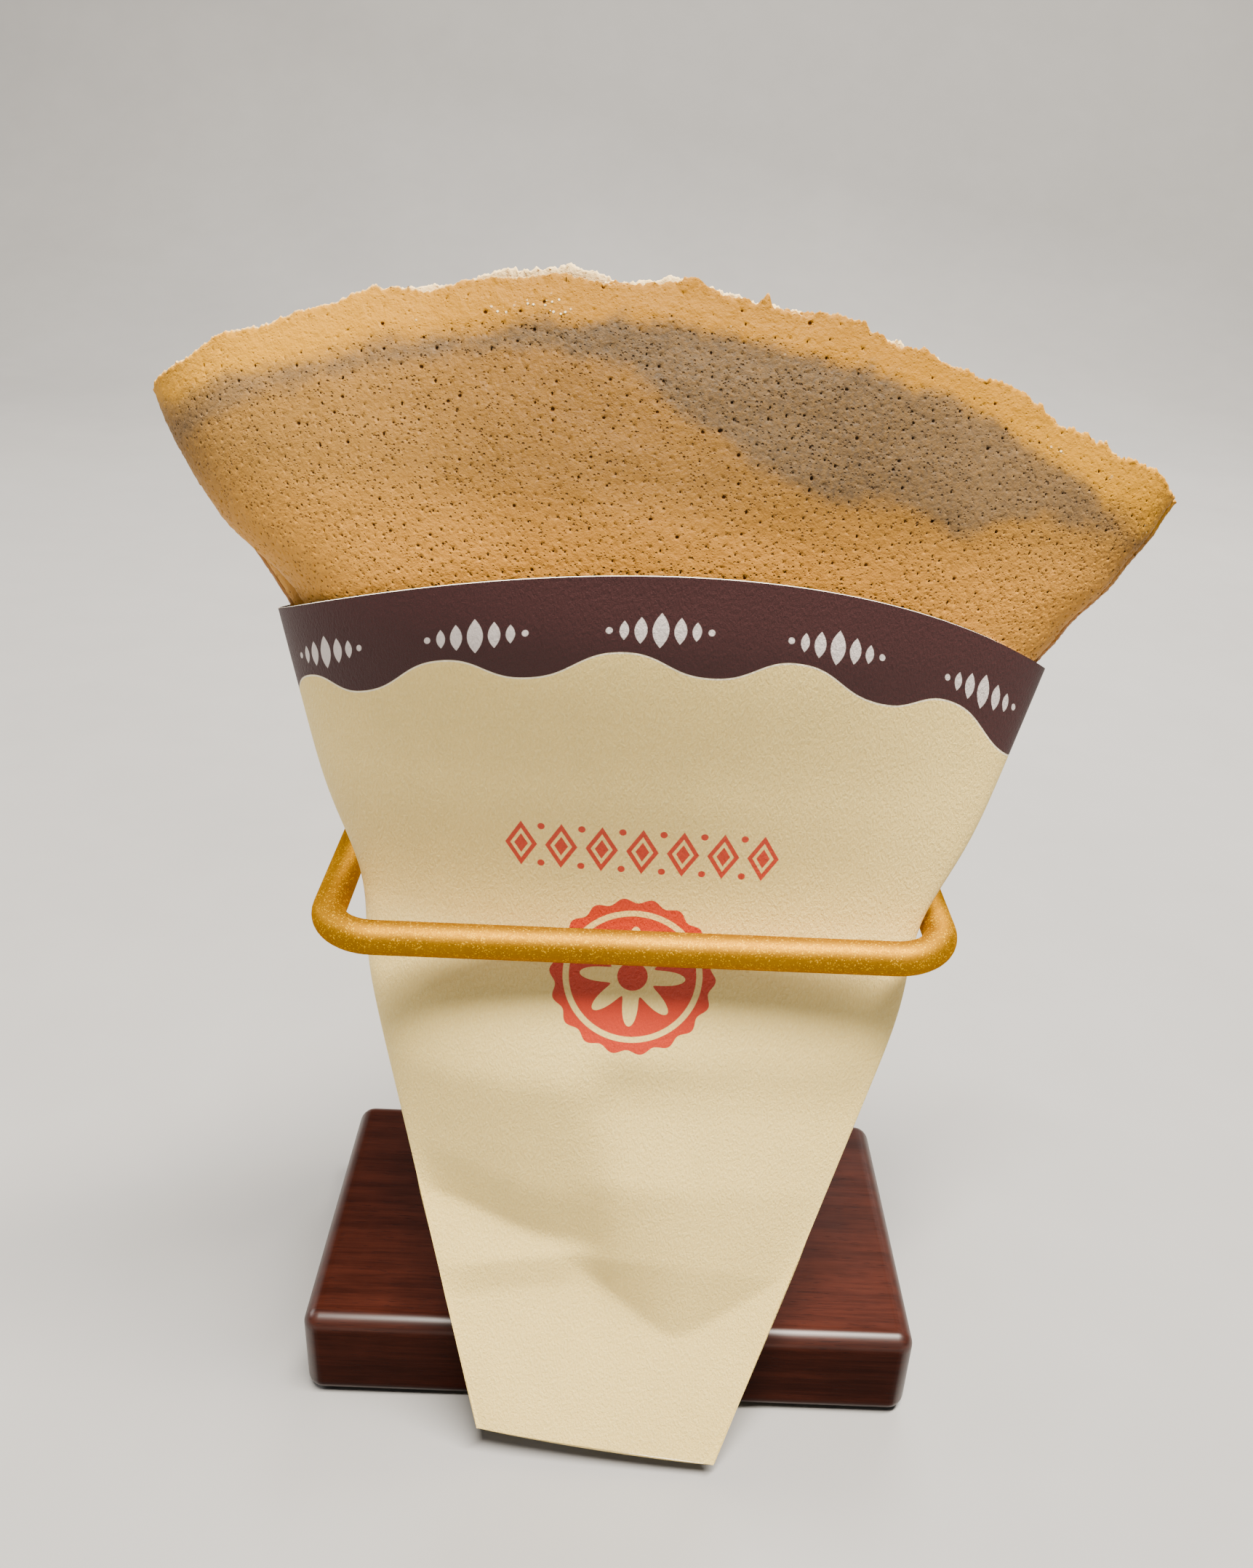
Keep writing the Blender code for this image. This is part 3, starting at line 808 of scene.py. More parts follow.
def make_loop_tube(bm):
    """The bent rod: four straight runs and four round corners, closed on itself."""
    half = LOOP_WIDTH / 2 - LOOP_CORNER_RADIUS
    back = LOOP_FRONT_Y + LOOP_DEPTH
    start = Vector((LOOP_CENTRE_X - half, LOOP_FRONT_Y, LOOP_HEIGHT))
    upright = Matrix.Translation(start) @ Matrix.Rotation(math.radians(90), 4, "Y")
    bmesh.ops.create_circle(bm, cap_ends=False, segments=ROD_SIDES, radius=ROD_RADIUS, matrix=upright)
    ring = list(bm.edges)
    depth = LOOP_DEPTH - 2 * LOOP_CORNER_RADIUS
    right = LOOP_CENTRE_X + half
    left = LOOP_CENTRE_X - half
    front_y = LOOP_FRONT_Y + LOOP_CORNER_RADIUS
    back_y = back - LOOP_CORNER_RADIUS
    runs = (
        (Vector((2 * half, 0, 0)), (right, front_y)),
        (Vector((0, depth, 0)), (right, back_y)),
        (Vector((-2 * half, 0, 0)), (left, back_y)),
        (Vector((0, -depth, 0)), (left, front_y)),
    )
    for move, (x, y) in runs:
        for _ in range(RUN_STEPS):
            ring = extrude_ring(bm, ring, move / RUN_STEPS)
        turned = bmesh.ops.spin(
            bm, geom=ring, cent=(x, y, LOOP_HEIGHT), axis=(0, 0, 1), angle=math.radians(90),
            steps=CORNER_STEPS, use_merge=False, use_duplicate=False)
        ring = of_kind(turned["geom_last"], bmesh.types.BMEdge)
    bmesh.ops.remove_doubles(bm, verts=bm.verts, dist=JOIN_DISTANCE)


def spin_round(bm, edges, x, y, steps):
    """Turns a profile all the way round an upright axis."""
    bmesh.ops.spin(
        bm, geom=edges, cent=(x, y, 0), axis=(0, 0, 1), angle=math.radians(360), steps=steps,
        use_merge=True, use_duplicate=False)


def make_turned(bm, profile, x, y):
    """A turned shape round an upright axis, from a profile of radius and height."""
    verts = [bm.verts.new((x + radius, y, height)) for radius, height in profile]
    edges = [bm.edges.new(pair) for pair in zip(verts, verts[1:])]
    spin_round(bm, edges, x, y, TURNED_STEPS)


def make_weld(bm, x, y):
    """The bead of weld where the post meets the loop's back bar: a ripple round the post's top."""
    before = set(bm.verts)
    angles = [2 * math.pi * k / WELD_SIDES for k in range(WELD_SIDES)]
    reach = x + ROD_RADIUS
    verts = [
        bm.verts.new((reach + WELD_THICKNESS * math.cos(a), y, WELD_THICKNESS * math.sin(a)))
        for a in angles]
    edges = [bm.edges.new(pair) for pair in zip(verts, verts[1:] + verts[:1])]
    spin_round(bm, edges, x, y, WELD_STEPS)
    for vert in set(bm.verts) - before:
        off = Vector((vert.co.x - x, vert.co.y - y, 0))
        angle = math.atan2(off.y, off.x)
        ripple = 1 + WELD_RIPPLE * math.sin(WELD_WAVES * angle) + WELD_UNEVENNESS * noise.noise(off * 0.9)
        saddle = LOOP_HEIGHT - math.sqrt(ROD_RADIUS ** 2 - min(abs(off.y), ROD_RADIUS) ** 2)
        vert.co.z = vert.co.z * ripple + saddle


def make_loop(gold):
    """The gold loop with its post, weld bead and foot collar."""
    bm = bmesh.new()
    make_loop_tube(bm)
    post_y = LOOP_FRONT_Y + LOOP_DEPTH
    post = [(ROD_RADIUS, height) for height in (POST_FOOT, *POST_STEPS, LOOP_HEIGHT)]
    make_turned(bm, post, LOOP_CENTRE_X, post_y)
    collar = [(radius, BLOCK[2] + height) for radius, height in COLLAR]
    make_turned(bm, collar, LOOP_CENTRE_X, post_y)
    make_weld(bm, LOOP_CENTRE_X, post_y)
    bmesh.ops.holes_fill(bm, edges=[edge for edge in bm.edges if edge.is_boundary], sides=0)
    bmesh.ops.recalc_face_normals(bm, faces=bm.faces)
    bmesh.ops.scale(bm, vec=(MM, MM, MM), verts=bm.verts)
    finish_piece("holder_loop", bm, [gold], "holder_ring", 50)


# The card sleeve
def sleeve_half_width(height):
    """Half the sleeve's width, pinched a little where the loop's side bars hold it."""
    flare = (SLEEVE_HALF_TOP - SLEEVE_HALF_BOTTOM) / SLEEVE_CORNER_HEIGHT
    pinch = PINCH_DEPTH * math.exp(-((height - PINCH_HEIGHT) / PINCH_REACH) ** 2)
    return SLEEVE_HALF_BOTTOM + flare * height - pinch


def mouth_height(across):
    """Height of the sleeve's top edge: an arc cut across each panel."""
    inward = 1 - across * across
    return SLEEVE_CORNER_HEIGHT + inward * (SLEEVE_MOUTH_RISE + SLEEVE_MOUTH_TILT * across)


def slope_over(lines, height):
    """The card's slope at a height, changed at each line: the line's height, width and change."""
    slope = PANEL_SLOPE
    for line, width, change in lines:
        slope += change * ease((height - line) / width + 0.5)
    return slope


def dent_slope(side, height):
    """How fast the sleeve's front draws back going down, at a place on it."""
    ridge = smooth_through(RIDGE_LINE, side)
    valley = smooth_through(VALLEY_LINE, side)
    off = side - CREASE_TIP[0]
    rise = CREASE_RISE_RIGHT if off > 0 else CREASE_RISE_LEFT
    crease = CREASE_TIP[1] + rise * (math.hypot(off, CREASE_TIP_ROUNDING) - CREASE_TIP_ROUNDING)
    soft = blend(*VALLEY_WIDTHS, ease((side - VALLEY_SHARP_SIDE) / VALLEY_SOFTENING))
    left = slope_over((
        (34, 6.0, 0.03), (ridge - 8, 3.0, 0.17), (ridge, 1.6, -0.27), (valley, soft, 0.50),
        (valley + 13, 8.0, -0.12), (97, 8.0, -0.26)), height)
    right = slope_over((
        (crease, 2.2, 0.40), (ridge, 2.5, -0.15), (72, 6.0, -0.16), (92, 5.0, 0.10),
        (108, 6.0, -0.12)), height)
    return blend(right, left, ease((DENTS_MEET - side) / DENTS_MERGING))


def dented_front(across):
    """Bulge of the sleeve's front, by whole millimetres of height, for one column."""
    sums = [0.0]
    for height in range(DENT_TOP):
        side = across * sleeve_half_width(height + 0.5)
        sums.append(sums[-1] + dent_slope(side, height + 0.5))
    low = smooth_through(SLEEVE_FRONT, 0)
    high = smooth_through(SLEEVE_FRONT, DENT_TOP)
    return [low + (high - low) * value / sums[-1] for value in sums]


def front_bulge(profile, height):
    """The dented profile low down, passing into the plain one below the loop."""
    plain = smooth_through(SLEEVE_FRONT, height)
    if height >= DENT_TOP:
        return plain
    step = int(max(height, 0.0))
    share = max(height, 0.0) - step
    dented = blend(profile[step], profile[step + 1], share)
    return blend(dented, plain, ease((height - DENT_TOP + DENT_BLEND) / DENT_BLEND))


def sleeve_place(turn, height, profile, lift):
    """A point of the sleeve's outer face: turn 0 is its front, a quarter turn its right edge."""
    across = math.sin(turn)
    rise = abs(math.cos(turn))
    crease = SIDE_CREASE * max(0.0, 1 - height / PINCH_HEIGHT)
    bow = rise * (1 - crease + crease * rise)
    half = sleeve_half_width(height) + lift
    if math.cos(turn) >= 0:
        depth = -(front_bulge(profile, height) + lift) * bow * (1 - FRONT_SKEW * across)
    else:
        depth = (smooth_through(SLEEVE_BACK, height) + lift) * bow
    return Vector((half * across, depth, height))


def make_sleeve(card, core):
    """The card sleeve: one sheet wrapped round, its end glued over its start down the back."""
    bm = bmesh.new()
    across_layer, up_layer, below_layer = add_layers(bm, PAPER_LAYERS)
    grid = make_grid(bm, SLEEVE_COLUMNS, SLEEVE_ROWS)
    start = SEAM_TURN - 2 * math.pi
    turns = [blend(start, SEAM_TURN, column / SLEEVE_COLUMNS) for column in range(SLEEVE_COLUMNS + 1)]
    for column, plain_turn in enumerate(turns):
        profile = dented_front(math.sin(plain_turn)) if math.cos(plain_turn) >= 0 else None
        lapped = ease((column / SLEEVE_COLUMNS - SEAM_START) / SEAM_SHARE)
        for row in range(SLEEVE_ROWS + 1):
            rise = (row / SLEEVE_ROWS) ** ROW_CROWDING
            overlap = SEAM_OVERLAP / sleeve_half_width(SLEEVE_CORNER_HEIGHT * rise)
            turn = plain_turn + overlap * lapped
            height = mouth_height(math.sin(turn)) * rise
            lift = SEAM_LIFT * ease((turn - SEAM_TURN + SEAM_RAMP) / SEAM_RAMP)
            place = sleeve_place(turn, height, profile, lift)
            place.z -= SLEEVE_BOTTOM_SLOPE * place.x * (1 - rise) ** BOTTOM_SLOPE_FADE
            grid[column, row].co = place
            grid[column, row][up_layer] = height
    middle = turns.index(min(turns, key=abs))
    for row in range(SLEEVE_ROWS + 1):
        grid[middle, row][across_layer] = grid[middle, row].co.x
        for end, step in ((SLEEVE_COLUMNS, 1), (0, -1)):
            for column in range(middle, end, step):
                here, there = grid[column, row], grid[column + step, row]
                there[across_layer] = here[across_layer] + step * (there.co - here.co).length
    for column in range(SLEEVE_COLUMNS + 1):
        for row in range(SLEEVE_ROWS - 1, -1, -1):
            here, above = grid[column, row], grid[column, row + 1]
            here[below_layer] = above[below_layer] + (above.co - here.co).length
    bmesh.ops.transform(bm, matrix=CONE, verts=bm.verts)
    piece = finish_piece("card_sleeve", bm, [card, core], "sleeve", 35)
    give_wall(piece, CARD_THICKNESS)


def make_flap(card, core):
    """The flap at the sleeve's foot, folded under it and glued up its back."""
    bm = bmesh.new()
    across_layer, up_layer, below_layer = add_layers(bm, PAPER_LAYERS)
    grid = make_grid(bm, FLAP_COLUMNS, FLAP_BEND_ROWS + FLAP_ROWS)
    for (_, row), vert in grid.items():
        across = vert.co.x
        turned = min(row / FLAP_BEND_ROWS, 1.0) * math.pi
        rise = max(row - FLAP_BEND_ROWS, 0) / FLAP_ROWS * FLAP_HEIGHT
        half = sleeve_half_width(rise) - FLAP_MARGIN - FLAP_TAPER * rise
        rounded = math.sqrt(max(0.0, 1 - (half * across / sleeve_half_width(rise)) ** 2))
        crease = SIDE_CREASE * (1 - rise / PINCH_HEIGHT)
        bow = rounded * (1 - crease + crease * rounded)
        front = -SLEEVE_FRONT[0][1] * bow + FLAP_GAP
        foot_back = SLEEVE_BACK[0][1] * bow + SEAM_LIFT
        depth = smooth_through(SLEEVE_BACK, rise) * bow + SEAM_LIFT
        sink = 0.0
        if row < FLAP_BEND_ROWS:
            depth = blend(front, foot_back, (1 - math.cos(turned)) / 2)
            sink = math.sin(turned) * (foot_back - front) / 2
        x = half * across
        vert[across_layer] = x
        vert[up_layer] = -rise - FLAP_PAPER_GAP
        vert[below_layer] = SLEEVE_CORNER_HEIGHT + rise
        vert.co = Vector((x, depth, rise - sink - SLEEVE_BOTTOM_SLOPE * x - FLAP_DROP))
    bmesh.ops.recalc_face_normals(bm, faces=bm.faces)
    bmesh.ops.transform(bm, matrix=CONE, verts=bm.verts)
    piece = finish_piece("card_foot_flap", bm, [card, core], "sleeve", 60)
    give_wall(piece, FLAP_THICKNESS)


# The crepe
def crepe_size(height):
    """Half width, sideways drift, front bulge and back bulge of the crepe at a height."""
    share = min(max((height - CREPE_TIP) / CREPE_TIP_REACH, 0.0), 1.0)
    swell = math.sqrt(max(0.0, 1 - (1 - share) ** TIP_ROUNDNESS))
    if height > CREPE_FLARE_START:
        tables = (CREPE_HALF, CREPE_DRIFT, CREPE_FRONT, CREPE_BACK)
        return tuple(smooth_through(table, height) for table in tables)
    half = (sleeve_half_width(height) - CREPE_SIDE_CLEARANCE) * swell
    room = CREPE_FACE_CLEARANCE + DENT_ROOM * ease((DENT_ROOM_TOP - height) / DENT_ROOM_FADE)
    front = max(smooth_through(SLEEVE_FRONT, height) - room, 1.0) * swell
    back = (smooth_through(SLEEVE_BACK, height) - CREPE_FACE_CLEARANCE) * swell
    return half, 0.0, front, back


def rim_height(across):
    """Height where a column of the crepe meets the round rim of the fan."""
    height = RIM_CENTRE[1] + RIM_RADIUS
    for _ in range(RIM_PASSES):
        half, drift, _, _ = crepe_size(height)
        side = drift + half * across - RIM_CENTRE[0]
        height = RIM_CENTRE[1] + math.sqrt(max(RIM_RADIUS ** 2 - side ** 2, 0.0))
    return height


RIM_TABLE = tuple(rim_height(k / RIM_TABLE_STEPS - 1) for k in range(2 * RIM_TABLE_STEPS + 1))


def raggedness(side, least):
    """How ragged the front's rim is: least at its left, full from its middle on."""
    return blend(least, 1.0, ease((side - CALM_SIDE) / CALM_REACH))


def rim_top(across, sheet):
    """Height of one sheet's cut rim, with its own waves and ragged teeth."""
    across = min(max(across, -1.0), 1.0)
    position = (across + 1) * RIM_TABLE_STEPS
    step = min(int(position), 2 * RIM_TABLE_STEPS - 1)
    smooth = blend(RIM_TABLE[step], RIM_TABLE[step + 1], position - step)
    fade = 1 - abs(across) ** RIM_WAVE_FADE
    shift = SHEET_PHASE * sheet
    wave = sum(size * math.sin(rate * across + phase + shift) for size, rate, phase in RIM_WAVES)
    side = across * RIM_HALF
    tooth = 0.0
    for size, rate in RIM_TEETH:
        bite = uneven(side * rate, sheet * 7.3, rate)
        tooth += size * bite * (1.0 if bite < 0 else TOOTH_RISE)
    if sheet == 0:
        tooth *= raggedness(side, 0.3)
        tooth += TIP_LIFT * math.exp(-((side - TIP_LIFT_SIDE) / TIP_LIFT_SPAN) ** 2)
    if sheet == 5:
        tooth += BACK_SWELL * math.exp(-((side + BACK_SWELL_SIDE) / BACK_SWELL_SPAN) ** 2)
    return smooth + wave * fade + tooth + SHEET_LIFTS[sheet] * bowed(across)


def sheet_place(across, height, depth, reach, narrow):
    """A point in the middle of a folded sheet: depth 0 is the crepe's front sheet and 1 its back."""
    half, drift, front, back = crepe_size(height)
    bow = bowed(across)
    inside = SHEET_THICKNESS / 2
    y_front = -front * bow * (1 - FRONT_SKEW * across) + inside
    y_back = back * bow - inside
    shown = ease((height - EDGE_STACK_START) / EDGE_STACK_REACH)
    stack = EDGE_STACK * shown + EDGE_STACK_LEAST + 2 * inside
    y = blend(y_front, y_back, depth) + (depth - 0.5) * stack * across ** 4
    waver = SIDE_WAVER * uneven(height * 0.14, 4.0, 2.0) * max(across, 0.0) ** 10
    x = drift + max(half - FOLD_REACH - inside - narrow, TIP_HALF) * across + reach + waver
    return Vector((x, y, height))


def flap_inset(across, height, sheet):
    """How far the front flap's left edge stays back from the fold under it, low down."""
    if across > 0 or sheet > 1:
        return 0.0
    return FLAP_INSET * ease((FLAP_INSET_TOP - height) / FLAP_INSET_REACH) * ease((-across - 0.6) / 0.4)


def run(sheet, start, end, steps):
    """Section points along one sheet: across, depth, sideways reach, two sheets and the share between."""
    points = []
    for k in range(steps + 1):
        share = blend(k / steps, (1 - math.cos(math.pi * k / steps)) / 2, RUN_CROWDING)
        points.append((blend(start, end, share), SHEET_DEPTHS[sheet], 0.0, sheet, sheet, 0.0))
    return points


def bend(side, first, second, steps, reach):
    """Section points round a fold from one sheet to another, at the left or right side."""
    points = []
    for k in range(1, steps):
        angle = math.pi * k / steps
        share = (1 - math.cos(angle)) / 2
        depth = blend(SHEET_DEPTHS[first], SHEET_DEPTHS[second], share)
        points.append((side, depth, side * reach * math.sin(angle), first, second, share))
    return points


def dark_crescent_depth(side, height):
    """How deep a place lies inside the dark crescent of painted shade on the front, negative outside it."""
    faint_left = DARK_CRESCENT_FAINTNESS * ease((DARK_CRESCENT_FAINT_SIDE - side) / DARK_CRESCENT_FAINT_REACH)
    inside = min(smooth_through(DARK_CRESCENT_UPPER, side) - height, height - smooth_through(DARK_CRESCENT_LOWER, side))
    return inside - faint_left


def dark_ring(side, top, height, sheet):
    """The same for the other sheets, which carry a loose darker ring below the rim."""
    ring = RING_DEPTH + RING_WANDER * uneven(side * 0.021, sheet * 3.7, 1.0)
    width = RING_WIDTH + RING_SPREAD * uneven(side * 0.017, 2.0, sheet * 5.1)
    return width - abs(top - height - ring)


def dryness(side, below, sheet, outer):
    """How dry and pale a place is: the rims of the sheets at the back, and the left tip."""
    ragged = uneven(side * 0.11, sheet * 2.3, 5.0)
    reach = DRY_REACH + DRY_WANDER * ragged if outer else DRY_REACH_INSIDE
    back_rim = ease((reach - below) / 2.0) if sheet > 3 else 0.0
    left_tip = ease((DRY_TIP_SIDE - side) / 3) * ease((DRY_TIP_REACH + 3 * ragged - below) / 3)
    frost = blend(*FROST, ease((side + 60) / 60))
    torn_edge = frost * ease((FROST_REACH - below) / 0.6)
    return max(back_rim, left_tip, torn_edge)


def sheet_wave(place, sheet, size):
    """Soft unevenness of a sheet."""
    seed = 11.0 + sheet * 5.7
    broad = uneven(place.x * 0.045, place.z * 0.05, seed)
    fine = uneven(place.x * 0.15, place.z * 0.16, seed)
    return size * (broad + 0.35 * fine)


def lay_strip(bm, points, low_rows, high_rows, waves):
    """A folded strip of crepe with a real wall: up its outer face, over the rim, down its inner face."""
    columns = len(points) - 1
    rows = low_rows + high_rows
    middles = []
    tops = []
    for across, depth, reach, first, second, share in points:
        top = blend(rim_top(across, first), rim_top(across, second), share)
        heights = [blend(CREPE_TIP, VISIBLE_START, k / low_rows) for k in range(low_rows)]
        heights += [blend(VISIBLE_START, top - RIM_ROUNDING, k / high_rows) for k in range(high_rows + 1)]
        column = []
        for height in heights:
            place = sheet_place(across, height, depth, reach, flap_inset(across, height, first))
            shown = ease((height - WAVE_START) / WAVE_REACH) * bowed(across)
            wave = blend(sheet_wave(place, first, waves), sheet_wave(place, second, waves), share)
            place.y += wave * shown
            column.append(place)
        middles.append(column)
        tops.append(top)

    def facing(column, row):
        along = middles[min(column + 1, columns)][row] - middles[max(column - 1, 0)][row]
        up = middles[column][min(row + 1, rows)] - middles[column][max(row - 1, 0)]
        normal = along.cross(up)
        return normal.normalized() if normal.length > 1e-6 else Vector((0, -1, 0))

    inner_rows = [rows] + [rows - k for k in range(2, high_rows, INNER_ROW_STEP)]
    inner_rows += range(low_rows, -1, -2)
    inner_start = rows + len(RIM_LIP) + 1
    total = rows + len(RIM_LIP) + len(inner_rows)
    layers = bm.verts.layers.float
    grid = make_grid(bm, columns, total)
    for (column, step), vert in grid.items():
        across, _, _, first, second, share = points[column]
        sheet = second if share > 0.5 else first
        outer = step <= rows
        if outer:
            row, side, rise = step, 1.0, 0.0
        elif step < inner_start:
            row = rows
            rise, side = RIM_LIP[step - rows - 1]
        else:
            row, side, rise = inner_rows[step - inner_start], -1.0, 0.0
        middle = middles[column][row]
        below = tops[column] - middle.z
        wall = SHEET_THICKNESS * blend(RIM_THINNING, 1.0, ease((below - RIM_ROUNDING) / THINNING_REACH))
        vert.co = middle + facing(column, row) * (side * wall / 2) + Vector((0, 0, rise * RIM_ROUNDING))
        below -= rise * RIM_ROUNDING
        # The dark crescent: painted shade on the front sheet, a darker ring on the others
        dark_crescent = NO_DARK_CRESCENT
        if outer and sheet == 0:
            dark_crescent = dark_crescent_depth(middle.x, middle.z)
        elif outer:
            dark_crescent = dark_ring(middle.x, tops[column], middle.z, sheet)
        gloss = blend(0.3, 1.0, ease((GLOSS_TOP - middle.z) / 8)) * ease((below - GLOSS_START) / 4)
        vert[layers["below_rim"]] = below
        vert[layers["cone_height"]] = middle.z
        vert[layers["column"]] = column
        vert[layers["dark_crescent_depth"]] = dark_crescent
        vert[layers["fold_gloss"]] = gloss if first != second else 0.0
        vert[layers["dryness"]] = dryness(middle.x, below, max(first, second), outer)
    foot = {grid[column, step] for column in range(columns + 1) for step in (0, total)}
    foot_edges = [edge for edge in bm.edges if edge.verts[0] in foot and edge.verts[1] in foot]
    bmesh.ops.bridge_loops(bm, edges=foot_edges)
    wall_steps = [*range(rows), *range(inner_start, total)]
    for column in (0, columns):
        pairs = [(grid[column, step], grid[column, step + 1]) for step in wall_steps]
        bmesh.ops.bridge_loops(bm, edges=[bm.edges.get(pair) for pair in pairs])
    bmesh.ops.holes_fill(bm, edges=[edge for edge in bm.edges if edge.is_boundary], sides=0)


def spike_height(side, height):
    """Height of the torn spikes at a place along the front sheet's rim."""
    if height < VISIBLE_START:
        return 0.0
    total = 0.0
    for place, tall, left, right in SPIKES:
        reach = left if side < place else right
        total += tall * max(0.0, 1 - abs(side - place) / reach) ** 1.3
    return total


def crumble_rim(bm, cuts, seed, spikes=False):
    """Splits the strips' rims finely across and makes their torn edges crumbly."""
    layers = bm.verts.layers.float
    below, column = layers["below_rim"], layers["column"]
    across = []
    for edge in bm.edges:
        first, second = edge.verts
        near = max(first[below], second[below]) < CRUMB_REACH
        if near and abs(first[column] - second[column]) > 0.5:
            across.append(edge)
    bmesh.ops.subdivide_edges(bm, edges=across, cuts=cuts, use_grid_fill=True)
    for vert in bm.verts:
        if vert[below] < CRUMB_REACH:
            share = ease(1 - max(vert[below], 0.0) / CRUMB_REACH)
            crumb = spike_height(vert.co.x, vert.co.z) if spikes else 0.0
            torn = 0.65 + 0.9 * uneven(vert.co.x * 0.07, 3.0, seed)
            if spikes:
                torn *= raggedness(vert.co.x, 0.45)
            for size, rate, steady in CRUMBS:
                bite = uneven(vert.co.x * rate, vert.co.y * rate * 0.4, seed)
                crumb += size * blend(torn, 1.0, steady) * bite
            vert.co.z += share * crumb
            vert.co.y += share * 0.5 * uneven(vert.co.x * 1.3, vert.co.z * 1.3, seed + 4)
    layers.remove(column)


def pore_chance(side, height):
    """Share of places that hold a pore on the front: denser in the dark crescent, rare at the rim."""
    inside = ease((dark_crescent_depth(side, height) + 3) / 5)
    core = math.exp(-((side - 12) / 38) ** 2)
    rim_gap = ease((rim_top(side / PORE_HALF, 0) - height - 3.0) / 8)
    patch = 0.75 + 0.9 * uneven(side * 0.06, height * 0.06, 3.0)
    cluster = max(0.15, 0.95 + 1.7 * uneven(side * 0.23, height * 0.23, 8.0))
    chance = PORES_ALL_OVER * patch + PORES_AT_CORE * inside * core + PORES_IN_DARK_CRESCENT * inside
    return chance * cluster * blend(0.08, 1.0, rim_gap)


def shake(bm, chance, amount):
    """Moves the visible cells about a little, so that no grid shows."""
    for vert in bm.verts:
        if vert.co.z > PORE_START and not vert.is_boundary:
            gap = min(edge.calc_length() for edge in vert.link_edges)
            spread = min(amount, gap * SHAKE_SHARE)
            vert.co.x += chance.uniform(-spread, spread)
            vert.co.z += chance.uniform(-spread, spread)


def pick_pores(bm, chance, chance_of_pore, faces_out, wide_spots):
    """Vertices where pores open, each with the ring of vertices round it, none overlapping."""
    taken = set()
    picked = []
    order = [
        vert for vert in bm.verts
        if vert.co.z > PORE_START and faces_out(vert.normal) and vert.is_manifold]
    chance.shuffle(order)
    wide = [
        min(order, key=lambda v: (v.co.x - spot[0]) ** 2 + (v.co.z - spot[1]) ** 2)
        for spot in wide_spots]
    for vert in wide + order:
        if len(vert.link_faces) != 4 or any(len(face.verts) != 4 for face in vert.link_faces):
            continue
        ring = {v for face in vert.link_faces for v in face.verts}
        if ring & taken:
            continue
        is_wide = vert in wide
        if is_wide or chance.random() < chance_of_pore(vert.co.x, vert.co.z):
            taken |= ring
            radius = PORE_LARGE if is_wide else PORE_SMALL * math.exp(chance.gauss(0.0, PORE_SPREAD))
            ring.discard(vert)
            picked.append((vert, list(ring), min(radius, PORE_LARGE)))
    return picked


def open_pores(bm, chance, picked):
    """Turns each picked vertex into a round hollow with a rim, a wall and a floor."""
    pore_shade_layer = bm.verts.layers.float["pore"]
    centres = [(vert.co.copy(), vert.normal.copy()) for vert, _, _ in picked]
    bmesh.ops.dissolve_verts(bm, verts=[vert for vert, _, _ in picked])
    pores = []
    for (centre, normal), (_, ring, radius) in zip(centres, picked):
        shared = set(ring[0].link_faces)
        for vert in ring[1:]:
            shared &= set(vert.link_faces)
        if len(shared) == 1:
            reach = min((vert.co - centre).length for vert in ring)
            pores.append((shared.pop(), centre, normal, min(radius, PORE_FIT * reach)))
    small = [pore for pore in pores if pore[3] < PORE_STEP]
    wide = [pore for pore in pores if pore[3] >= PORE_STEP]
    steps = [(small, *ring) for ring in SMALL_PORE_RINGS] + [(wide, *ring) for ring in PORE_RINGS]
    least, change, rate = PORE_SQUASH
    for group, share, depth, pore_painted_shade in steps:
        faces = [pore[0] for pore in group]
        bmesh.ops.inset_individual(bm, faces=faces, thickness=PORE_INSET, depth=0.0, use_even_offset=False)
        for face, centre, normal, radius in group:
            squash = least + change * math.sin(centre.x * rate)
            for vert in face.verts:
                off = vert.co - centre
                off -= normal * off.dot(normal)
                off.normalize()
                stretch = share * radius * chance.uniform(0.92, 1.08)
                off.x *= squash
                vert.co = centre + off * stretch - normal * (depth * radius)
                # Painted shade: each ring of the pore is darker towards its floor
                vert[pore_shade_layer] = pore_painted_shade


def open_skin(bm, seed, amount, chance_of_pore, faces_out, wide_spots=()):
    """Shakes the cells of a face of the fan and opens its pores."""
    chance = random.Random(seed)
    bm.normal_update()
    shake(bm, chance, amount)
    bm.normal_update()
    open_pores(bm, chance, pick_pores(bm, chance, chance_of_pore, faces_out, wide_spots))


def finish_crepe(name, bm, finish):
    """Sets a piece of the crepe in the cone frame and finishes it."""
    bmesh.ops.transform(bm, matrix=CONE, verts=bm.verts)
    finish_piece(name, bm, [finish], "crepe", 80)


def make_crepe_front(finish):
    """The front flap: its surface, its left fold edge and its right outer bend."""
    bm = bmesh.new()
    add_layers(bm, CREPE_LAYERS)
    points = run(1, -TAIL_START, -1.0, TAIL_STEPS)[:-1] + bend(-1, 1, 0, 10, FOLD_REACH)
    points += run(0, -1.0, 1.0, FRONT_COLUMNS) + bend(1, 0, 3, 12, FOLD_REACH)
    points += run(3, 1.0, TAIL_START, TAIL_STEPS)
    lay_strip(bm, points, LOW_ROWS, FRONT_ROWS, 0.55)
    open_skin(bm, 4, 0.14, pore_chance, lambda n: n.y < -0.25, BIG_PORES)
    crumble_rim(bm, 2, 1.7, spikes=True)
    finish_crepe("crepe_front", bm, finish)


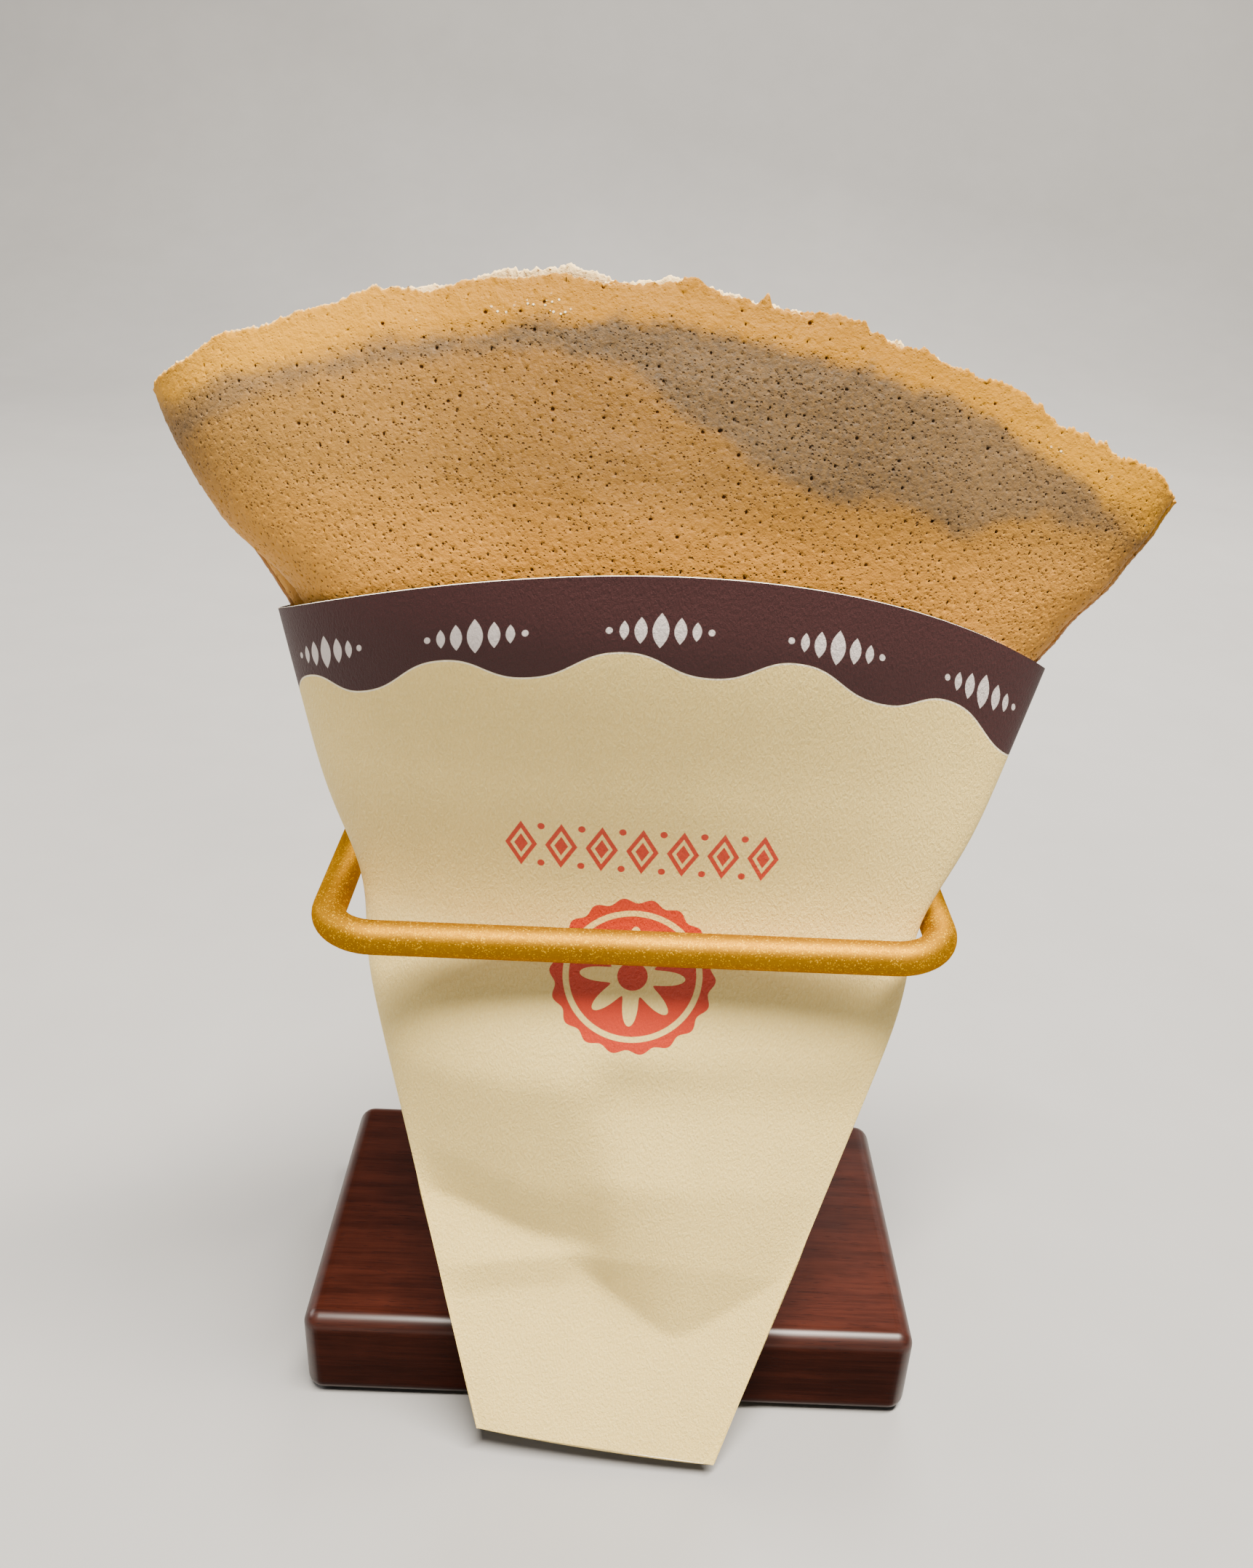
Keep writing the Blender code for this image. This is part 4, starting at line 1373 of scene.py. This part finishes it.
def make_crepe_back(finish):
    """The back of the fan: its surface, its left outer bend and its right fold edge."""
    bm = bmesh.new()
    add_layers(bm, CREPE_LAYERS)
    points = run(4, TAIL_START, 1.0, TAIL_STEPS)[:-1] + bend(1, 4, 5, 10, FOLD_REACH)
    points += run(5, 1.0, -1.0, BACK_COLUMNS) + bend(-1, 5, 2, 12, FOLD_REACH)
    points += run(2, -1.0, -TAIL_START, TAIL_STEPS)
    lay_strip(bm, points, LOW_ROWS, BACK_ROWS, 0.9)
    open_skin(bm, 9, 0.16, lambda x, z: BACK_PORE_CHANCE, lambda n: n.y > 0.2)
    crumble_rim(bm, 3, 5.3)
    finish_crepe("crepe_back", bm, finish)


def make_crepe_folds(finish):
    """The four sheets folded away inside, seen along the rim."""
    bm = bmesh.new()
    add_layers(bm, CREPE_LAYERS)
    left_fold = run(4, TAIL_START, -1.0, FOLD_COLUMNS)[:-1] + bend(-1, 4, 3, 8, INNER_REACH)
    left_fold += run(3, -1.0, TAIL_START, FOLD_COLUMNS)
    right_fold = run(1, -TAIL_START, 1.0, FOLD_COLUMNS)[:-1] + bend(1, 1, 2, 8, INNER_REACH)
    right_fold += run(2, 1.0, -TAIL_START, FOLD_COLUMNS)
    for points in (left_fold, right_fold):
        lay_strip(bm, points, FOLD_LOW_ROWS, FOLD_ROWS, 1.0)
    bm.normal_update()
    shake(bm, random.Random(2), 0.2)
    crumble_rim(bm, 5, 8.1)
    finish_crepe("crepe_folds", bm, finish)


# The room, in metres
FLOOR_GREYS = ((0.205, 0.203, 0.200, 1), (0.225, 0.223, 0.220, 1))
FLOOR_HALF = 3.0
FLOOR_FRONT = -2.5
FLOOR_BACK = 1.2
SWEEP_RADIUS = 0.8
WALL_RISE = 1.8
# Each light's place, target, size, power and colour
LIGHTS = {
    "key_light": ((0.33, -0.50, 2.62), (0, -0.03, 0.12), (1.8, 0.40), 430.0, (1.0, 0.93, 0.83)),
    "fill_light": ((0.9, -1.3, 0.6), (0, 0, 0.12), (0.9, 0.7), 1.6, (1.0, 0.95, 0.88)),
    "back_light": ((0.35, 1.25, 1.0), (0, 0, 0.15), (0.9, 0.6), 30.0, (1.0, 0.96, 0.92)),
    "side_light": ((-1.35, 0.35, 0.8), (0, 0, 0.15), (0.8, 0.6), 14.0, (1.0, 0.96, 0.92)),
}
# The room's strength and colour as light, and as the background that the camera sees
ROOM_STRENGTHS = (0.075, 0.85)
ROOM_COLOURS = ((0.92, 0.95, 1.0, 1), (1.0, 0.985, 0.96, 1))
CAMERA_PLACE = (-0.0041, -0.2652, 0.2858)
CAMERA_LENS = 30.056
# Turns of the camera in degrees: to the left, up from straight down, and about its own axis
CAMERA_TURNS = (-0.55, 63.6, 2.65)


def make_stage():
    """A plain pale floor that sweeps up far behind."""
    made, nodes, shader = new_material("pale_floor")
    cloud = mottle(nodes, nodes.object_place(), 6.0, 0.0, 1.0)
    nodes.fill(shader, {"Base Color": nodes.mix(cloud, *FLOOR_GREYS), "Roughness": 0.7})
    bm = bmesh.new()
    verts = [bm.verts.new((-FLOOR_HALF, y, 0.0)) for y in (FLOOR_FRONT, FLOOR_BACK)]
    bm.edges.new(verts)
    arc = bmesh.ops.spin(
        bm, geom=[verts[1]], cent=(-FLOOR_HALF, FLOOR_BACK, SWEEP_RADIUS), axis=(1, 0, 0),
        angle=math.radians(90), steps=24)
    last = of_kind(arc["geom_last"], bmesh.types.BMVert)
    top = bmesh.ops.extrude_vert_indiv(bm, verts=last)["verts"]
    bmesh.ops.translate(bm, vec=(0, 0, WALL_RISE), verts=top)
    bmesh.ops.remove_doubles(bm, verts=bm.verts, dist=0.0001)
    extrude_ring(bm, bm.edges, (2 * FLOOR_HALF, 0, 0))
    bmesh.ops.recalc_face_normals(bm, faces=bm.faces)
    floor = add_object("floor", bm, [made], 180)


def make_lights():
    """Plain soft studio light, mostly from above and a little in front."""
    for name, (place, target, size, power, colour) in LIGHTS.items():
        data = bpy.data.lights.new(name, "AREA")
        data.shape = "RECTANGLE"
        data.size, data.size_y = size
        data.energy = power
        data.color = colour
        light = bpy.data.objects.new(name, data)
        light.location = place
        light.rotation_euler = (Vector(target) - Vector(place)).to_track_quat("-Z", "Y").to_euler()
        bpy.context.scene.collection.objects.link(light)
    world = bpy.data.worlds.new("studio")
    world.use_nodes = True
    nodes = Nodes(world.node_tree)
    seen = nodes.add("ShaderNodeLightPath").outputs["Is Camera Ray"]
    nodes.fill(world.node_tree.nodes["Background"], {
        "Color": nodes.mix(seen, *ROOM_COLOURS),
        "Strength": nodes.spread(seen, 0.0, 1.0, *ROOM_STRENGTHS)})
    bpy.context.scene.world = world


def make_camera():
    """The camera at the photograph's viewing angle."""
    data = bpy.data.cameras.new("camera")
    data.sensor_width = 36.0
    data.lens = CAMERA_LENS
    camera = bpy.data.objects.new("camera", data)
    yaw, pitch, roll = [math.radians(turn) for turn in CAMERA_TURNS]
    camera.matrix_world = (
        Matrix.Translation(CAMERA_PLACE)
        @ Matrix.Rotation(yaw, 4, "Z")
        @ Matrix.Rotation(pitch, 4, "X")
        @ Matrix.Rotation(roll, 4, "Z"))
    bpy.context.scene.collection.objects.link(camera)
    bpy.context.scene.camera = camera


wood = make_wood()
gold = make_gold()
card = make_card()
core = make_card_edge()
batter = make_crepe_finish()
make_camera()
make_lights()
make_stage()
make_block(wood)
make_loop(gold)
make_sleeve(card, core)
make_flap(card, core)
make_crepe_front(batter)
make_crepe_back(batter)
make_crepe_folds(batter)

bpy.context.view_layer.update()
